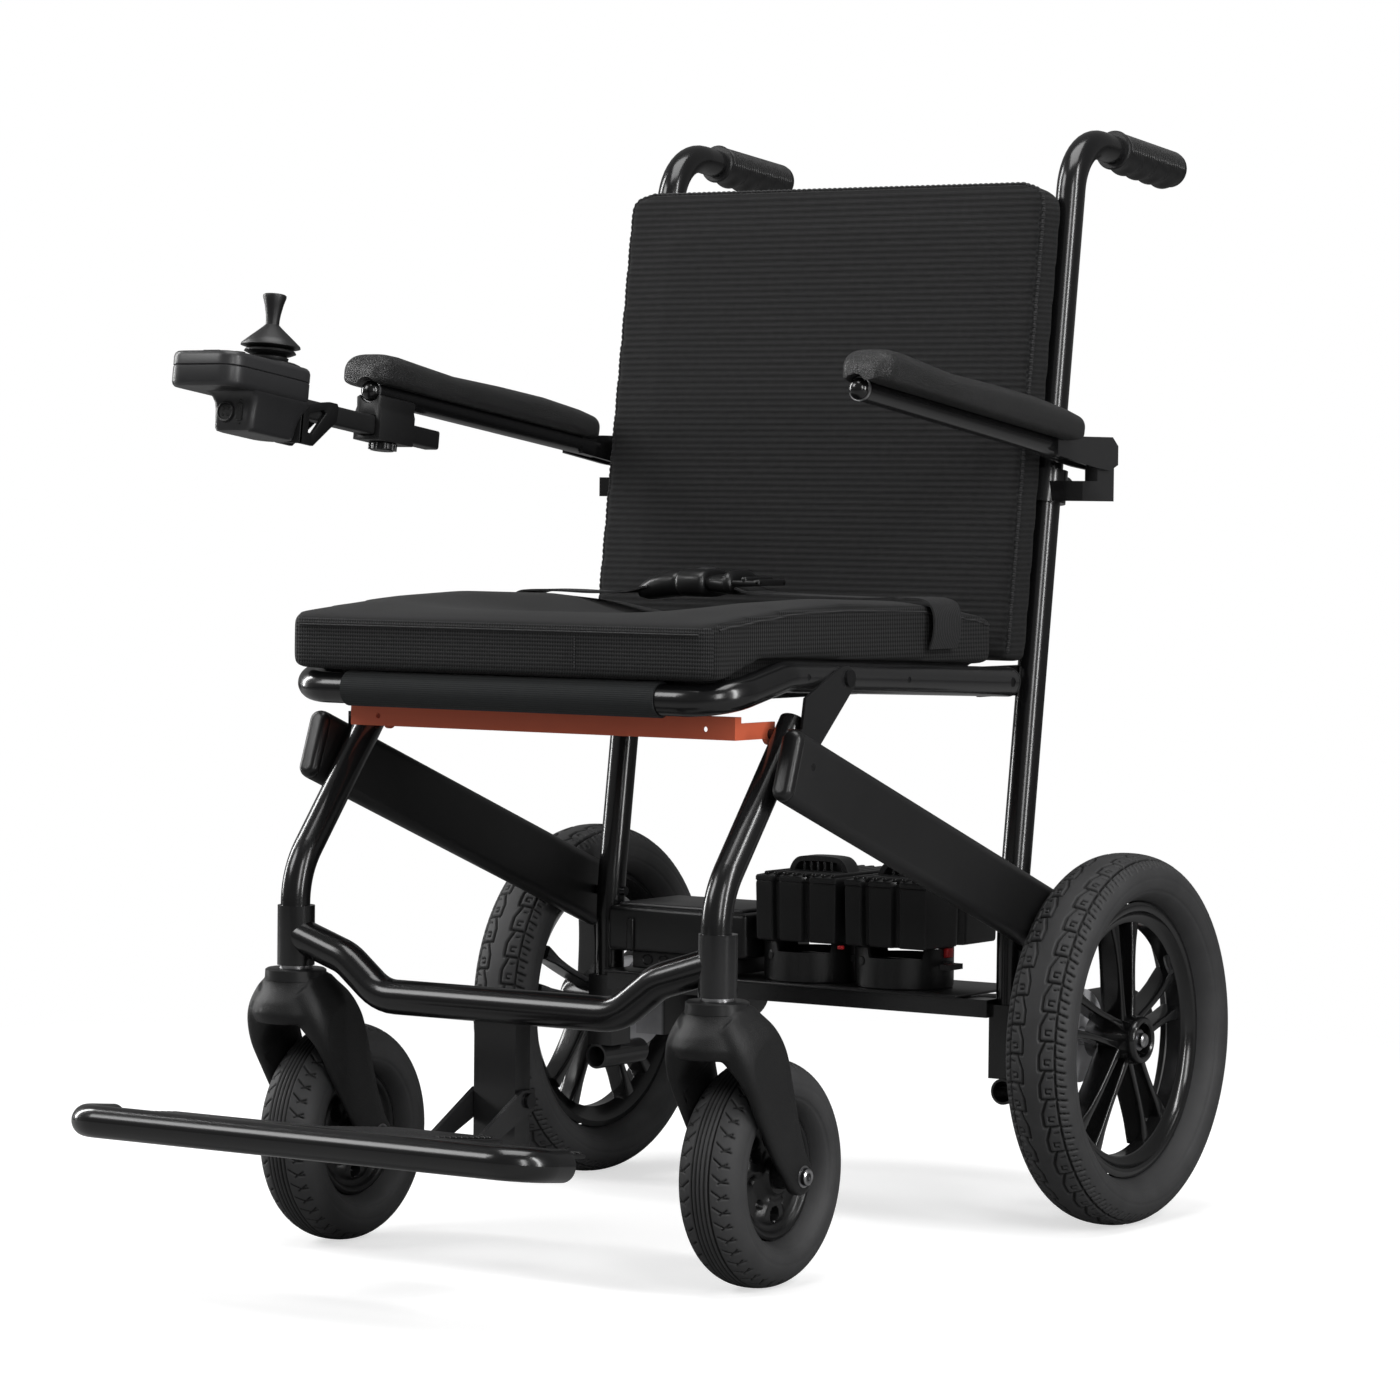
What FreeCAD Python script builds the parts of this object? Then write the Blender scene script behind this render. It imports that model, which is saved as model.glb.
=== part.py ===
import FreeCAD, Part
import math
import os
import Sketcher
from FreeCAD import Placement, Rotation, Vector

# Folding power wheelchair. Millimetres, +Z up, front toward -Y, sitter's left toward +X.
# Origin: on the floor, on the middle plane, under the middle of the overall length.
# Points in this script measure y from the drive axle; world() moves them to the origin.
# Most pieces are drawn on the left and mirrored to the right.

os.makedirs("parts", exist_ok=True)
doc = FreeCAD.newDocument("PowerWheelchair")
sheet = doc.addObject("Spreadsheet::Sheet", "Sizes")
SIZES = {}
NODES = []


def size(alias, value):
    """Puts a driving dimension in the sheet. The first value given to an alias holds."""
    if alias not in SIZES:
        row = len(SIZES) + 1
        sheet.set("A%d" % row, alias)
        sheet.set("B%d" % row, "%.4f" % value)
        sheet.setAlias("B%d" % row, alias)
        SIZES[alias] = float(value)
    return SIZES[alias]


AXLE_SHIFT = size("rear_axle_to_origin", 301.745)
TUBE_RADIUS = size("frame_tube_radius", 12.5)
TUBE_WALL = size("frame_tube_wall", 2.0)
FRAME_X = size("frame_half_width", 204.5)
DRIVE_RADIUS = size("drive_wheel_radius", 158.0)
DRIVE_X = size("drive_wheel_half_track", 271.2)
DRIVE_TYRE_HALF = size("drive_tyre_half_width", 31.0)
CASTER_RADIUS = size("caster_radius", 89.6)
CASTER_TYRE_HALF = size("caster_tyre_half_width", 28.0)
CASTER_X = size("caster_half_track", 203.5)
STEM_Y = size("caster_stem_y", -527.0)
CASTER_Y = size("caster_wheel_y", -461.8)
PIN_RADIUS = size("pin_radius", 4.0)
SHAFT_RADIUS = size("shaft_radius", 8.0)
STEM_RADIUS = size("stem_radius", 6.0)
CLEARANCE = size("running_clearance", 0.05)
ARM_SLOPE = size("arm_slope_degrees", 7.2)
BACK_SLOPE = size("back_slope_degrees", 7.9)

# Axes that run across the chair, as (y, z)
DRIVE_AXLE = (0, DRIVE_RADIUS)
CASTER_AXLE = (CASTER_Y, CASTER_RADIUS)
SEAT_PIVOT = (-96, 462)
LINK_REAR = (-71, 263.5)
LINK_FRONT = (-452.0, 401.0)
ARM_PIVOT = (8.8, 652.9)
BAR_PIVOT = (-428, 428.9)
FOOT_PIVOT = (-522, 137.6)

# Axes that run lengthwise, as (x, z), and upright, as (x, y)
MOTOR_AXIS = (200, DRIVE_RADIUS)
KNOB_AXIS = (FRAME_X, 626)
STEM_AXIS = (CASTER_X, STEM_Y)


# ------------------------------------------------------------------ helpers
def world(x, y, z):
    return Vector(x, y + AXLE_SHIFT, z)


def bind(obj, prop, alias, value):
    setattr(obj, prop, size(alias, value))
    obj.setExpression(prop, "Sizes." + alias)


def box(name, low, high, turn=0, about=None):
    """A box between two corners, turned about X by turn degrees around a point."""
    solid = doc.addObject("Part::Box", name)
    bind(solid, "Length", name + "_long", high[0] - low[0])
    bind(solid, "Width", name + "_wide", high[1] - low[1])
    bind(solid, "Height", name + "_high", high[2] - low[2])
    base = world(*low)
    rotation = Rotation()
    if turn:
        rotation = Rotation(Vector(1, 0, 0), turn)
        centre = world(*about)
        base = centre + rotation.multVec(base - centre)
    solid.Placement = Placement(base, rotation)
    return solid


def set_axis(solid, name, start, end):
    """Stands a cylinder or cone on start, reaching to end."""
    foot, top = world(*start), world(*end)
    bind(solid, "Height", name + "_high", (top - foot).Length)
    solid.Placement = Placement(foot, Rotation(Vector(0, 0, 1), top - foot))
    return solid


def cylinder(name, radius, start, end, alias=None):
    solid = doc.addObject("Part::Cylinder", name)
    bind(solid, "Radius", alias or name + "_rad", radius)
    return set_axis(solid, name, start, end)


def cone(name, start_radius, end_radius, start, end):
    solid = doc.addObject("Part::Cone", name)
    bind(solid, "Radius1", name + "_rada", start_radius)
    bind(solid, "Radius2", name + "_radb", end_radius)
    return set_axis(solid, name, start, end)


def across(name, radius, x0, x1, spot, alias=None):
    """A cylinder along X through spot (y, z)."""
    return cylinder(name, radius, (x0, *spot), (x1, *spot), alias)


def lengthwise(name, radius, y0, y1, spot, alias=None):
    """A cylinder along Y through spot (x, z)."""
    x, z = spot
    return cylinder(name, radius, (x, y0, z), (x, y1, z), alias)


def upright(name, radius, z0, z1, spot, alias=None):
    """A cylinder along Z through spot (x, y)."""
    return cylinder(name, radius, (*spot, z0), (*spot, z1), alias)


def pin(name, x0, x1, spot):
    return across(name, PIN_RADIUS, x0, x1, spot, "pin_radius")


def pin_hole(name, x0, x1, spot):
    return across(name, PIN_RADIUS + CLEARANCE, x0, x1, spot, "pin_hole_radius")


def fuse(name, parts):
    solid = doc.addObject("Part::MultiFuse", name)
    solid.Shapes = parts
    return solid


def cut(name, base, tools):
    solid = doc.addObject("Part::Cut", name)
    solid.Base = base
    solid.Tool = tools[0] if len(tools) == 1 else fuse(name + "_tools", tools)
    return solid


def group(name, parts):
    compound = doc.addObject("Part::Compound", name)
    compound.Links = parts
    return compound


def mirror(source):
    """The same piece on the other side of the middle plane."""
    copy = doc.addObject("Part::Mirroring", source.Name + "_other")
    copy.Source = source
    copy.Base = (0, 0, 0)
    copy.Normal = (1, 0, 0)
    return copy


def pairs(*sources):
    """Each source followed by its mirror image."""
    result = []
    for source in sources:
        result += [source, mirror(source)]
    return result


def fillet(name, base, alias, radius, pick):
    """Rounds the edges that pick() accepts."""
    base.recompute(True)
    size(alias, radius)
    edges = [(i + 1, radius, radius) for i, edge in enumerate(base.Shape.Edges) if pick(edge)]
    solid = doc.addObject("Part::Fillet", name)
    solid.Base = base
    solid.Edges = edges
    return solid


def path(name, points, radii):
    """A centreline of straight runs joined by arcs, and its corner points."""
    points = [world(*point) for point in points]
    edges = []
    here = points[0]
    for corner, before, after, radius in zip(points[1:-1], points, points[2:], radii):
        back = (before - corner).normalize()
        ahead = (after - corner).normalize()
        half = back.getAngle(ahead) / 2
        reach = radius / math.tan(half)
        arc_start, arc_end = corner + back * reach, corner + ahead * reach
        inward = (back + ahead).normalize()
        middle = corner + inward * (radius / math.sin(half) - radius)
        if (arc_start - here).Length > 0.01:
            edges.append(Part.makeLine(here, arc_start))
        edges.append(Part.Arc(arc_start, middle, arc_end).toShape())
        here = arc_end
    edges.append(Part.makeLine(here, points[-1]))
    line = doc.addObject("Part::Feature", name)
    line.Shape = Part.Wire(edges)
    return line, points


def sweep(name, spine, points, alias, radius):
    """A round bar swept along the spine."""
    ring = doc.addObject("Part::Circle", name + "_ring")
    bind(ring, "Radius", alias, radius)
    ring.Placement = Placement(points[0], Rotation(Vector(0, 0, 1), points[1] - points[0]))
    solid = doc.addObject("Part::Sweep", name)
    solid.Sections = [ring]
    solid.Spine = (spine, [])
    solid.Solid = True
    solid.Frenet = False
    return solid


def tube(name, points, radii, alias="frame_tube_radius", radius=TUBE_RADIUS):
    """Outer and inner sweeps of one bent tube."""
    spine, corners = path(name + "_line", points, radii)
    outer = sweep(name + "_outer", spine, corners, alias, radius)
    inner = sweep(name + "_inner", spine, corners, alias + "_bore", radius - TUBE_WALL)
    return outer, inner


def origin_feature(body, role):
    return next(item for item in body.Origin.OriginFeatures if item.Role == role)


def new_sketch(body, name, plane, offset=0.0):
    sketch = body.newObject("Sketcher::SketchObject", name)
    sketch.AttachmentSupport = (origin_feature(body, plane), [""])
    sketch.MapMode = "FlatFace"
    sketch.AttachmentOffset = Placement(Vector(0, 0, offset), Rotation())
    return sketch


def polygon(body, name, plane, points, offset=0.0):
    """A closed sketch outline whose corner positions are bound to the sheet."""
    sketch = new_sketch(body, name, plane, offset)
    count = len(points)
    for i in range(count):
        start, end = Vector(*points[i], 0), Vector(*points[(i + 1) % count], 0)
        sketch.addGeometry(Part.LineSegment(start, end), False)
    for i in range(count):
        sketch.addConstraint(Sketcher.Constraint("Coincident", i, 2, (i + 1) % count, 1))
    # each coordinate: its constraint, alias letter and the axis where it is zero
    kinds = (("DistanceX", "u", -2), ("DistanceY", "v", -1))
    for i, point in enumerate(points):
        for value, (kind, letter, axis) in zip(point, kinds):
            if abs(value) < 1e-6:
                sketch.addConstraint(Sketcher.Constraint("PointOnObject", i, 1, axis))
                continue
            index = sketch.addConstraint(Sketcher.Constraint(kind, -1, 1, i, 1, value))
            alias = "%s_%s%d" % (name, letter, i + 100)
            size(alias, value)
            sketch.setExpression("Constraints[%d]" % index, "Sizes." + alias)
    return sketch


def side_circles(body, name, spots, alias, radius):
    """Circles on the YZ plane, each at a spot (y, z)."""
    sketch = new_sketch(body, name, "YZ_Plane")
    size(alias, radius)
    for i, (y, z) in enumerate(spots):
        sketch.addGeometry(Part.Circle(Vector(y, z, 0), Vector(0, 0, 1), radius), False)
        index = sketch.addConstraint(Sketcher.Constraint("Radius", i, radius))
        sketch.setExpression("Constraints[%d]" % index, "Sizes." + alias)
    return sketch


def slab(name, plane, outline, thickness, offset=0.0, alias=None):
    """A body padded from an outline."""
    body = doc.addObject("PartDesign::Body", name + "_body")
    sketch = polygon(body, name + "_outline", plane, outline, offset)
    pad = body.newObject("PartDesign::Pad", name + "_pad")
    pad.Profile = sketch
    bind(pad, "Length", alias or name + "_thick", thickness)
    sketch.Visibility = False
    body.Tip = pad
    return body


def side_slab(name, outline, x, thickness):
    """A slab from a side outline of (y, z), reaching from x toward +X."""
    moved = [(y + AXLE_SHIFT, z) for y, z in outline]
    return slab(name, "YZ_Plane", moved, thickness, x)


def body_fillet(body, name, alias, radius, pick):
    doc.recompute()
    base = body.Tip
    rounding = body.newObject("PartDesign::Fillet", name)
    edges = ["Edge%d" % (i + 1) for i, edge in enumerate(base.Shape.Edges) if pick(edge)]
    rounding.Base = (base, edges)
    bind(rounding, "Radius", alias, radius)
    body.Tip = rounding
    doc.recompute()


def through_pocket(body, name, sketch):
    """A cut through all, to both sides of the sketch."""
    pocket = body.newObject("PartDesign::Pocket", name)
    pocket.Profile = sketch
    pocket.Type = 1
    pocket.Midplane = True
    body.Tip = pocket
    return pocket


def turned(name, outline):
    """A body turned about X from an outline of (x, radius)."""
    body = doc.addObject("PartDesign::Body", name + "_body")
    sketch = polygon(body, name, "XY_Plane", outline)
    revolution = body.newObject("PartDesign::Revolution", name + "_turn")
    revolution.Profile = sketch
    revolution.ReferenceAxis = (sketch, ["H_Axis"])
    revolution.Angle = 360.0
    body.Tip = revolution
    return body


def node(obj, label):
    """Names a finished piece and lists it for export."""
    obj.Label = label
    NODES.append(obj)


def node_pair(obj, label):
    """A left piece and its mirrored right one, exported apart."""
    node(obj, label + "_left")
    node(mirror(obj), label + "_right")


# ------------------------------------------------------------------ rear frame
POST_Y = -71.0
POST_BEND_Z = 262  # the post leans back above this height
POST_TOP_Z = 924.8
HANDLE_END = (199.0, 908.0)  # y, z


def post_y(z):
    return POST_Y + max(0.0, z - POST_BEND_Z) * math.tan(math.radians(BACK_SLOPE))


post, post_bore = tube(
    "post",
    [
        (FRAME_X, POST_Y, 150),
        (FRAME_X, POST_Y, POST_BEND_Z),
        (FRAME_X, post_y(POST_TOP_Z), POST_TOP_Z),
        (FRAME_X, *HANDLE_END),
    ],
    [400, 47],
)
ANTI_TIP_AXIS = (207, 116.2)
KNOB_STUD_RADIUS = 3
rear_side = fuse("rear_side_solid", [
    post,
    box("post_bracket", (192, -86, 126.5), (217, -56, 189)),
    lengthwise("anti_tip_socket", 11, -88, -20, ANTI_TIP_AXIS),
    box("seat_lug", (188.4, -108, 449), (191.7, -40, 474.5)),
    box("seat_lug_root", (188.4, -58, 449), (196, -34, 474.5)),
    box("gearbox_plate", (211.5, -60, 127), (216.8, -44, 188)),
    cylinder("arm_collar", 17, (FRAME_X, post_y(612) - 0.2, 612), (FRAME_X, post_y(640), 640)),
    box("arm_web", (FRAME_X, -34, 614), (246.3, -5, 631)),
    box("arm_lug", (234.2, -8, 614), (246.3, 21.5, 664)),
])
rear_bores = fuse("rear_side_bores", [
    post_bore,
    lengthwise("anti_tip_bore", 9, -90, -18, ANTI_TIP_AXIS),
    pin_hole("seat_lug_hole", 180, 196, SEAT_PIVOT),
    pin_hole("link_post_hole", 185, 222, LINK_REAR),
    pin_hole("arm_lug_hole", 230, 250, ARM_PIVOT),
    lengthwise("knob_hole", KNOB_STUD_RADIUS + CLEARANCE, -12, 2, KNOB_AXIS),
])
cross_bar = box("cross_bar", (-193, -92, 178), (193, -72, 193))
cross_bar_bore = box("cross_bar_bore", (-190, -90, 180), (190, -74, 191))
rear_solid = fuse("rear_frame_solid", [*pairs(rear_side), cross_bar])
rear_tools = [*pairs(rear_bores), cross_bar_bore]
node(cut("rear_frame_cut", rear_solid, rear_tools), "rear_frame")


# ------------------------------------------------------------------ push grips
def handle_point(y):
    """A point on the sloping handle end of the post."""
    end_y, end_z = HANDLE_END
    slope = (end_z - POST_TOP_Z) / (end_y - post_y(POST_TOP_Z))
    return (FRAME_X, y, end_z + (y - end_y) * slope)


GRIP_RADIUS = 16
grip = cut(
    "grip",
    cylinder("grip_body", GRIP_RADIUS, handle_point(88), handle_point(203.2)),
    [cylinder("grip_bore", TUBE_RADIUS + CLEARANCE, handle_point(80), handle_point(199.2),
              "grip_bore_radius")],
)
grip = fillet(
    "grip_round", grip, "grip_edge_round", 2.4,
    lambda edge: edge.Curve.TypeId == "Part::GeomCircle"
    and abs(edge.Curve.Radius - GRIP_RADIUS) < 0.01,
)
node(group("grips", pairs(grip)), "push_grips")

# ------------------------------------------------------------------ drive units
gear = fuse("gear", [
    across("gear_case", 40, 217, 234, DRIVE_AXLE),
    box("gear_arm", (217, -60, 130), (229, 0, 186)),
    box("gear_neck", (186, -10, 130), (217.2, 46, 186)),
])
gear_bore = across("gear_shaft_bore", SHAFT_RADIUS + CLEARANCE, 206, 240, DRIVE_AXLE,
                   "shaft_bore_radius")
gear = cut("gear_bored", gear, [gear_bore])
node(group("gearboxes_pair", pairs(gear)), "gearboxes")

motor = fuse("motor", [
    lengthwise("motor_can", 31, 46, 128, MOTOR_AXIS),
    lengthwise("motor_brake", 27, 128, 146, MOTOR_AXIS),
    lengthwise("lever_stud", 4, 146, 154, MOTOR_AXIS),
])
node(group("motors_pair", pairs(motor)), "drive_motors")

lever = fuse("lever", [
    lengthwise("lever_hub", 8, 146.4, 153, MOTOR_AXIS),
    box("lever_arm", (197, 147.4, 158), (203, 152, 196)),
])
lever_bore = lengthwise("lever_bore", PIN_RADIUS + CLEARANCE, 140, 160, MOTOR_AXIS,
                        "pin_hole_radius")
node_pair(cut("lever_bored", lever, [lever_bore]), "brake_lever")

# ------------------------------------------------------------------ batteries and control box
CUP_RADIUS = 41
POST_HALF = 26
cups = []
for i, x in enumerate((14.0, 106.0)):
    cups.append(fuse("cup_solid%d" % i, [
        upright("cup_round%d" % i, CUP_RADIUS, 198, 214, (x, -66)),
        box("cup_back%d" % i, (x - CUP_RADIUS, -66, 198), (x + CUP_RADIUS, 18, 214)),
        box("cup_post%d" % i, (x - POST_HALF, -40, 213), (x + POST_HALF, 16, 231.8)),
    ]))
dock_base = box("dock_base", (-192, -92, 193), (168, 18, 198))
node(fuse("dock", [dock_base, *cups]), "battery_dock")

CASE_TOP_Z = 256
case = box("control_case", (-190, -98, 198), (-44, 10, CASE_TOP_Z))
case = fillet(
    "control_round", case, "control_case_round", 5.0,
    lambda edge: abs(edge.BoundBox.ZMin - CASE_TOP_Z) < 0.01 or edge.BoundBox.ZLength > 50,
)
node(case, "controller_box")

BATTERY_HALF_X, BATTERY_HALF_Y = 40.5, 62
BATTERY_OUTLINE = [
    (-BATTERY_HALF_X, -BATTERY_HALF_Y),
    (BATTERY_HALF_X, -BATTERY_HALF_Y),
    (BATTERY_HALF_X, BATTERY_HALF_Y),
    (-BATTERY_HALF_X, BATTERY_HALF_Y),
]
for label, x in (("battery_right", 8.0), ("battery_left", 98.0)):
    battery = slab(label, "XY_Plane", BATTERY_OUTLINE, 58.0, alias="battery_height")
    body_fillet(battery, label + "_fillet", "battery_corner", 4.0,
                lambda edge: edge.BoundBox.ZLength > 50)
    battery.Placement = Placement(world(x, -40, 232), Rotation())
    node(battery, label)

latch = fuse("latch", [
    box("latch_bar", (-10, -63, 214.3), (140, -58, 220)),
    box("latch_tab_a", (-10, -80, 214.3), (0, -58, 219)),
    box("latch_tab_b", (140, -80, 214.3), (150, -58, 219)),
])
node(latch, "battery_latch")

cables = []
for i, side in enumerate((1, -1)):
    route = [(side * 100, 30, 180), (side * 140, 60, 180), (side * 165, 70, 158)]
    spine, corners = path("cable_line%d" % i, route, [12])
    cables.append(sweep("cable%d" % i, spine, corners, "cable_radius", 3.0))
node(group("cables", cables), "motor_cables")

# ------------------------------------------------------------------ backrest
BACK_ROOT = (0, -97.5, 480)


def back_box(name, half_width, depths, heights):
    """A box leaning with the back; depths and heights run from the foot of its front face."""
    root_y, root_z = BACK_ROOT[1:]
    low = (-half_width, root_y + depths[0], root_z + heights[0])
    high = (half_width, root_y + depths[1], root_z + heights[1])
    return box(name, low, high, -BACK_SLOPE, BACK_ROOT)


back = back_box("back_pad", 211, (0, 38.5), (0, 408))
back = fillet("back_pad_round", back, "back_pad_corner", 22.0,
              lambda edge: edge.Length < 39 and edge.BoundBox.ZMin > 860)
node(back, "backrest_cushion")
node(back_box("back_fabric", 190.5, (39.0, 42.0), (20, 404)), "backrest_shell")

# ------------------------------------------------------------------ seat frame
RAIL_REAR_Y, RAIL_BEND_Y = -86, -440
SEAT_FRONT = (-527.5, 457.5)  # y, z of the front cross tube
FRONT_PIN_Y = -366.4
SCREW_YS = (-267, -421)
SCREW_RADIUS = 2.5


def rail_z(y):
    """Height of the side rail, which rises toward the front."""
    return SEAT_PIVOT[1] - (y - SEAT_PIVOT[0]) * 0.0369


FRONT_PIN = (FRONT_PIN_Y, rail_z(FRONT_PIN_Y))
seat_tube, seat_bore = tube(
    "seat_tube",
    [
        (FRAME_X, RAIL_REAR_Y, rail_z(RAIL_REAR_Y)),
        (FRAME_X, RAIL_BEND_Y, rail_z(RAIL_BEND_Y)),
        (FRAME_X, *SEAT_FRONT),
        (-FRAME_X, *SEAT_FRONT),
        (-FRAME_X, RAIL_BEND_Y, rail_z(RAIL_BEND_Y)),
        (-FRAME_X, RAIL_REAR_Y, rail_z(RAIL_REAR_Y)),
    ],
    [60, 34, 34, 60],
)
seat_tools = [seat_bore]
for i, y in enumerate((SEAT_PIVOT[0], FRONT_PIN_Y)):
    seat_tools += pairs(pin_hole("rail_hole%d" % i, 185, 225, (y, rail_z(y))))
for i, y in enumerate(SCREW_YS):
    seat_tools += pairs(across("screw_hole%d" % i, SCREW_RADIUS + CLEARANCE, 205, 225,
                               (y, rail_z(y)), "screw_hole_radius"))
node(cut("seat_frame_cut", seat_tube, seat_tools), "seat_frame")

plug_z = rail_z(RAIL_REAR_Y)
rail_plug = fuse("rail_plug_all", [
    lengthwise("rail_plug", 10.4, -87.4, -85.2, (FRAME_X, plug_z)),
    cylinder("rail_plug_face", 12.5, (FRAME_X, -85.4, plug_z), (FRAME_X, -83.5, plug_z - 0.0922)),
])
node(group("rail_plugs", pairs(rail_plug)), "rail_end_caps")

fasteners = [
    across("sling_screw%d" % i, SCREW_RADIUS, 205.5, 216.6, (y, rail_z(y)), "screw_radius")
    for i, y in enumerate(SCREW_YS)
]
fasteners.append(fuse("front_pin", [
    pin("front_pin_rod", 193, 221, FRONT_PIN),
    across("front_pin_head", 6.5, 220.3, 222.6, FRONT_PIN),
]))
node(group("seat_screws", pairs(*fasteners)), "seat_fasteners")

# ------------------------------------------------------------------ sling, cushion and belt
sling = fuse("sling_solid", [
    box("sling_sheet", (-191.5, -513.6, 457), (191.5, -116, 460)),
    across("sling_sleeve", 14.2, -150, 150, SEAT_FRONT),
])
sleeve_bore = across("sling_sleeve_bore", TUBE_RADIUS + CLEARANCE, -152, 152, SEAT_FRONT)
side_clear = box("sling_side_clear", (150, -520, 450), (200, -493, 470))
node(cut("sling", sling, [sleeve_bore, *pairs(side_clear)]), "seat_sling")

# side outline of the cushion: y, z
CUSHION_OUTLINE = [
    (-542.8, 472.0), (-521, 472.0), (-466, 488.6), (-421, 487.8), (-104, 477),
    (-100, 500), (-100, 515), (-147, 522), (-225, 529), (-343, 532),
    (-425, 529), (-500, 521), (-538, 516),
]
CUSHION_HALF = 205.6
node(side_slab("cushion", CUSHION_OUTLINE, -CUSHION_HALF, 2 * CUSHION_HALF), "seat_cushion")

strap_left = fuse("strap_left", [
    box("strap_left_top", (22, -213, 533.5), (209.2, -170, 535.5)),
    box("strap_left_drop", (207.2, -213, 492), (209.2, -170, 535.5)),
])
strap_right = fuse("strap_right", [
    box("strap_right_top", (-209.2, -213, 533.5), (-82, -170, 535.5)),
    box("strap_right_drop", (-209.2, -213, 492), (-207.2, -170, 535.5)),
])
node(group("straps", [strap_left, strap_right]), "belt_straps")
buckle = box("buckle_case", (-81, -216, 532.5), (21, -167, 552.5))
buckle_mouth = box("buckle_mouth", (-46, -218, 538.5), (-14, -190, 556.5))
node(cut("buckle_hollow", buckle, [buckle_mouth]), "belt_buckle")
node(box("buckle_key", (-45.5, -212, 538.9), (-14.5, -195.5, 551.5)), "buckle_button")

# ------------------------------------------------------------------ side links
# drawn level from the front hole at zero, then tilted into place
link_y, link_z = LINK_REAR[0] - LINK_FRONT[0], LINK_REAR[1] - LINK_FRONT[1]
link_reach = math.hypot(link_y, link_z)
link_front, link_rear = -25.0, link_reach + 22.0
LINK_HALF = 29.0
CHAMFER_Y, CHAMFER_Z = 8, 10
LINK_OUTLINE = [
    (link_front + CHAMFER_Y, -LINK_HALF),
    (link_rear - CHAMFER_Y, -LINK_HALF),
    (link_rear, -LINK_HALF + CHAMFER_Z),
    (link_rear, LINK_HALF - CHAMFER_Z),
    (link_rear - CHAMFER_Y, LINK_HALF),
    (link_front + CHAMFER_Y, LINK_HALF),
    (link_front, LINK_HALF - CHAMFER_Z),
    (link_front, -LINK_HALF + CHAMFER_Z),
]
link = slab("link", "YZ_Plane", LINK_OUTLINE, 18.3)
body_fillet(link, "link_fillet", "link_edge_round", 8.0,
            lambda edge: edge.BoundBox.XLength < 0.01 and edge.BoundBox.YLength > 200)
link_holes = side_circles(link, "link_holes", [(0, 0), (link_reach, 0)],
                          "pin_hole_radius", PIN_RADIUS + CLEARANCE)
through_pocket(link, "link_bores", link_holes)
link_tilt = math.degrees(math.atan2(link_z, link_y))
link.Placement = Placement(world(220.2, *LINK_FRONT), Rotation(Vector(1, 0, 0), link_tilt))
node(group("links", pairs(link)), "side_links")

seat_bolt = fuse("seat_pivot", [
    pin("seat_pivot_rod", 184, 216.4, SEAT_PIVOT),
    across("seat_pivot_head", 7, 184, 188.2, SEAT_PIVOT),
])
link_bolt = fuse("link_pivot", [
    pin("link_pivot_rod", 188, 239.3, LINK_REAR),
    across("link_pivot_head", 6, 238.6, 240.2, LINK_REAR),
])
node(group("pivots", pairs(seat_bolt, link_bolt)), "pivot_bolts")

# ------------------------------------------------------------------ front frame
leg, leg_bore = tube("leg", [(203, -420, 438.5), (203, -531, 304), (203, -527, 258)], [70],
                     "leg_tube_radius", 12.0)
low_tube, low_bore = tube(
    "low_tube",
    [
        (200, -527, 256), (150, -529, 240), (114, -530, 212),
        (-114, -530, 212), (-150, -529, 240), (-200, -527, 256),
    ],
    [40, 40, 40, 40], "low_tube_radius", 14.0,
)
# side outline of the gusset: y, z
GUSSET_OUTLINE = [
    (-377, 481), (-430, 458), (-437, 422), (-412, 417),
    (-356, 466), (-357, 477), (-366, 482),
]
front_side = fuse("front_side_solid", [
    leg,
    upright("stem_housing", 15.2, 231.5, 280, STEM_AXIS),
    side_slab("gusset", GUSSET_OUTLINE, 217.3, 2.6),
    box("gusset_web", (206, -438, 420), (219.9, -424, 434)),
    across("bar_stud", 4, 178.5, 195, BAR_PIVOT),
])
# the plug keeps the leg bore clear of the stem bore below it
leg_plug = upright("leg_plug", 30, 250, 259, STEM_AXIS)
front_bores = fuse("front_side_bores", [
    upright("stem_bore", 11, 225, 257.5, STEM_AXIS),
    pin_hole("gusset_hole", 212, 222, FRONT_PIN),
    cut("leg_bore_short", leg_bore, [leg_plug]),
])
foot_post = box("foot_post", (-20, -534, 100), (20, -514, 206))
foot_post_bore = box("foot_post_bore", (-17, -531, 145), (17, -517, 196))
foot_hole = pin_hole("foot_hole", -24, 24, FOOT_PIVOT)
front_solid = fuse("front_frame_solid", [*pairs(front_side), low_tube, foot_post])
front_tools = [*pairs(front_bores), low_bore, foot_post_bore, foot_hole]
node(cut("front_frame_cut", front_solid, front_tools), "front_frame")

bearings = []
for i, z in enumerate((233.0, 250.0)):
    outer = upright("bearing_outer%d" % i, 10.98, z, z + 7, STEM_AXIS, "bearing_radius")
    bore = upright("bearing_bore%d" % i, STEM_RADIUS + CLEARANCE, z - 1, z + 8, STEM_AXIS,
                   "bearing_bore_radius")
    bearings.append(cut("bearing%d" % i, outer, [bore]))
node(group("bearings", pairs(*bearings)), "stem_bearings")

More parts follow.
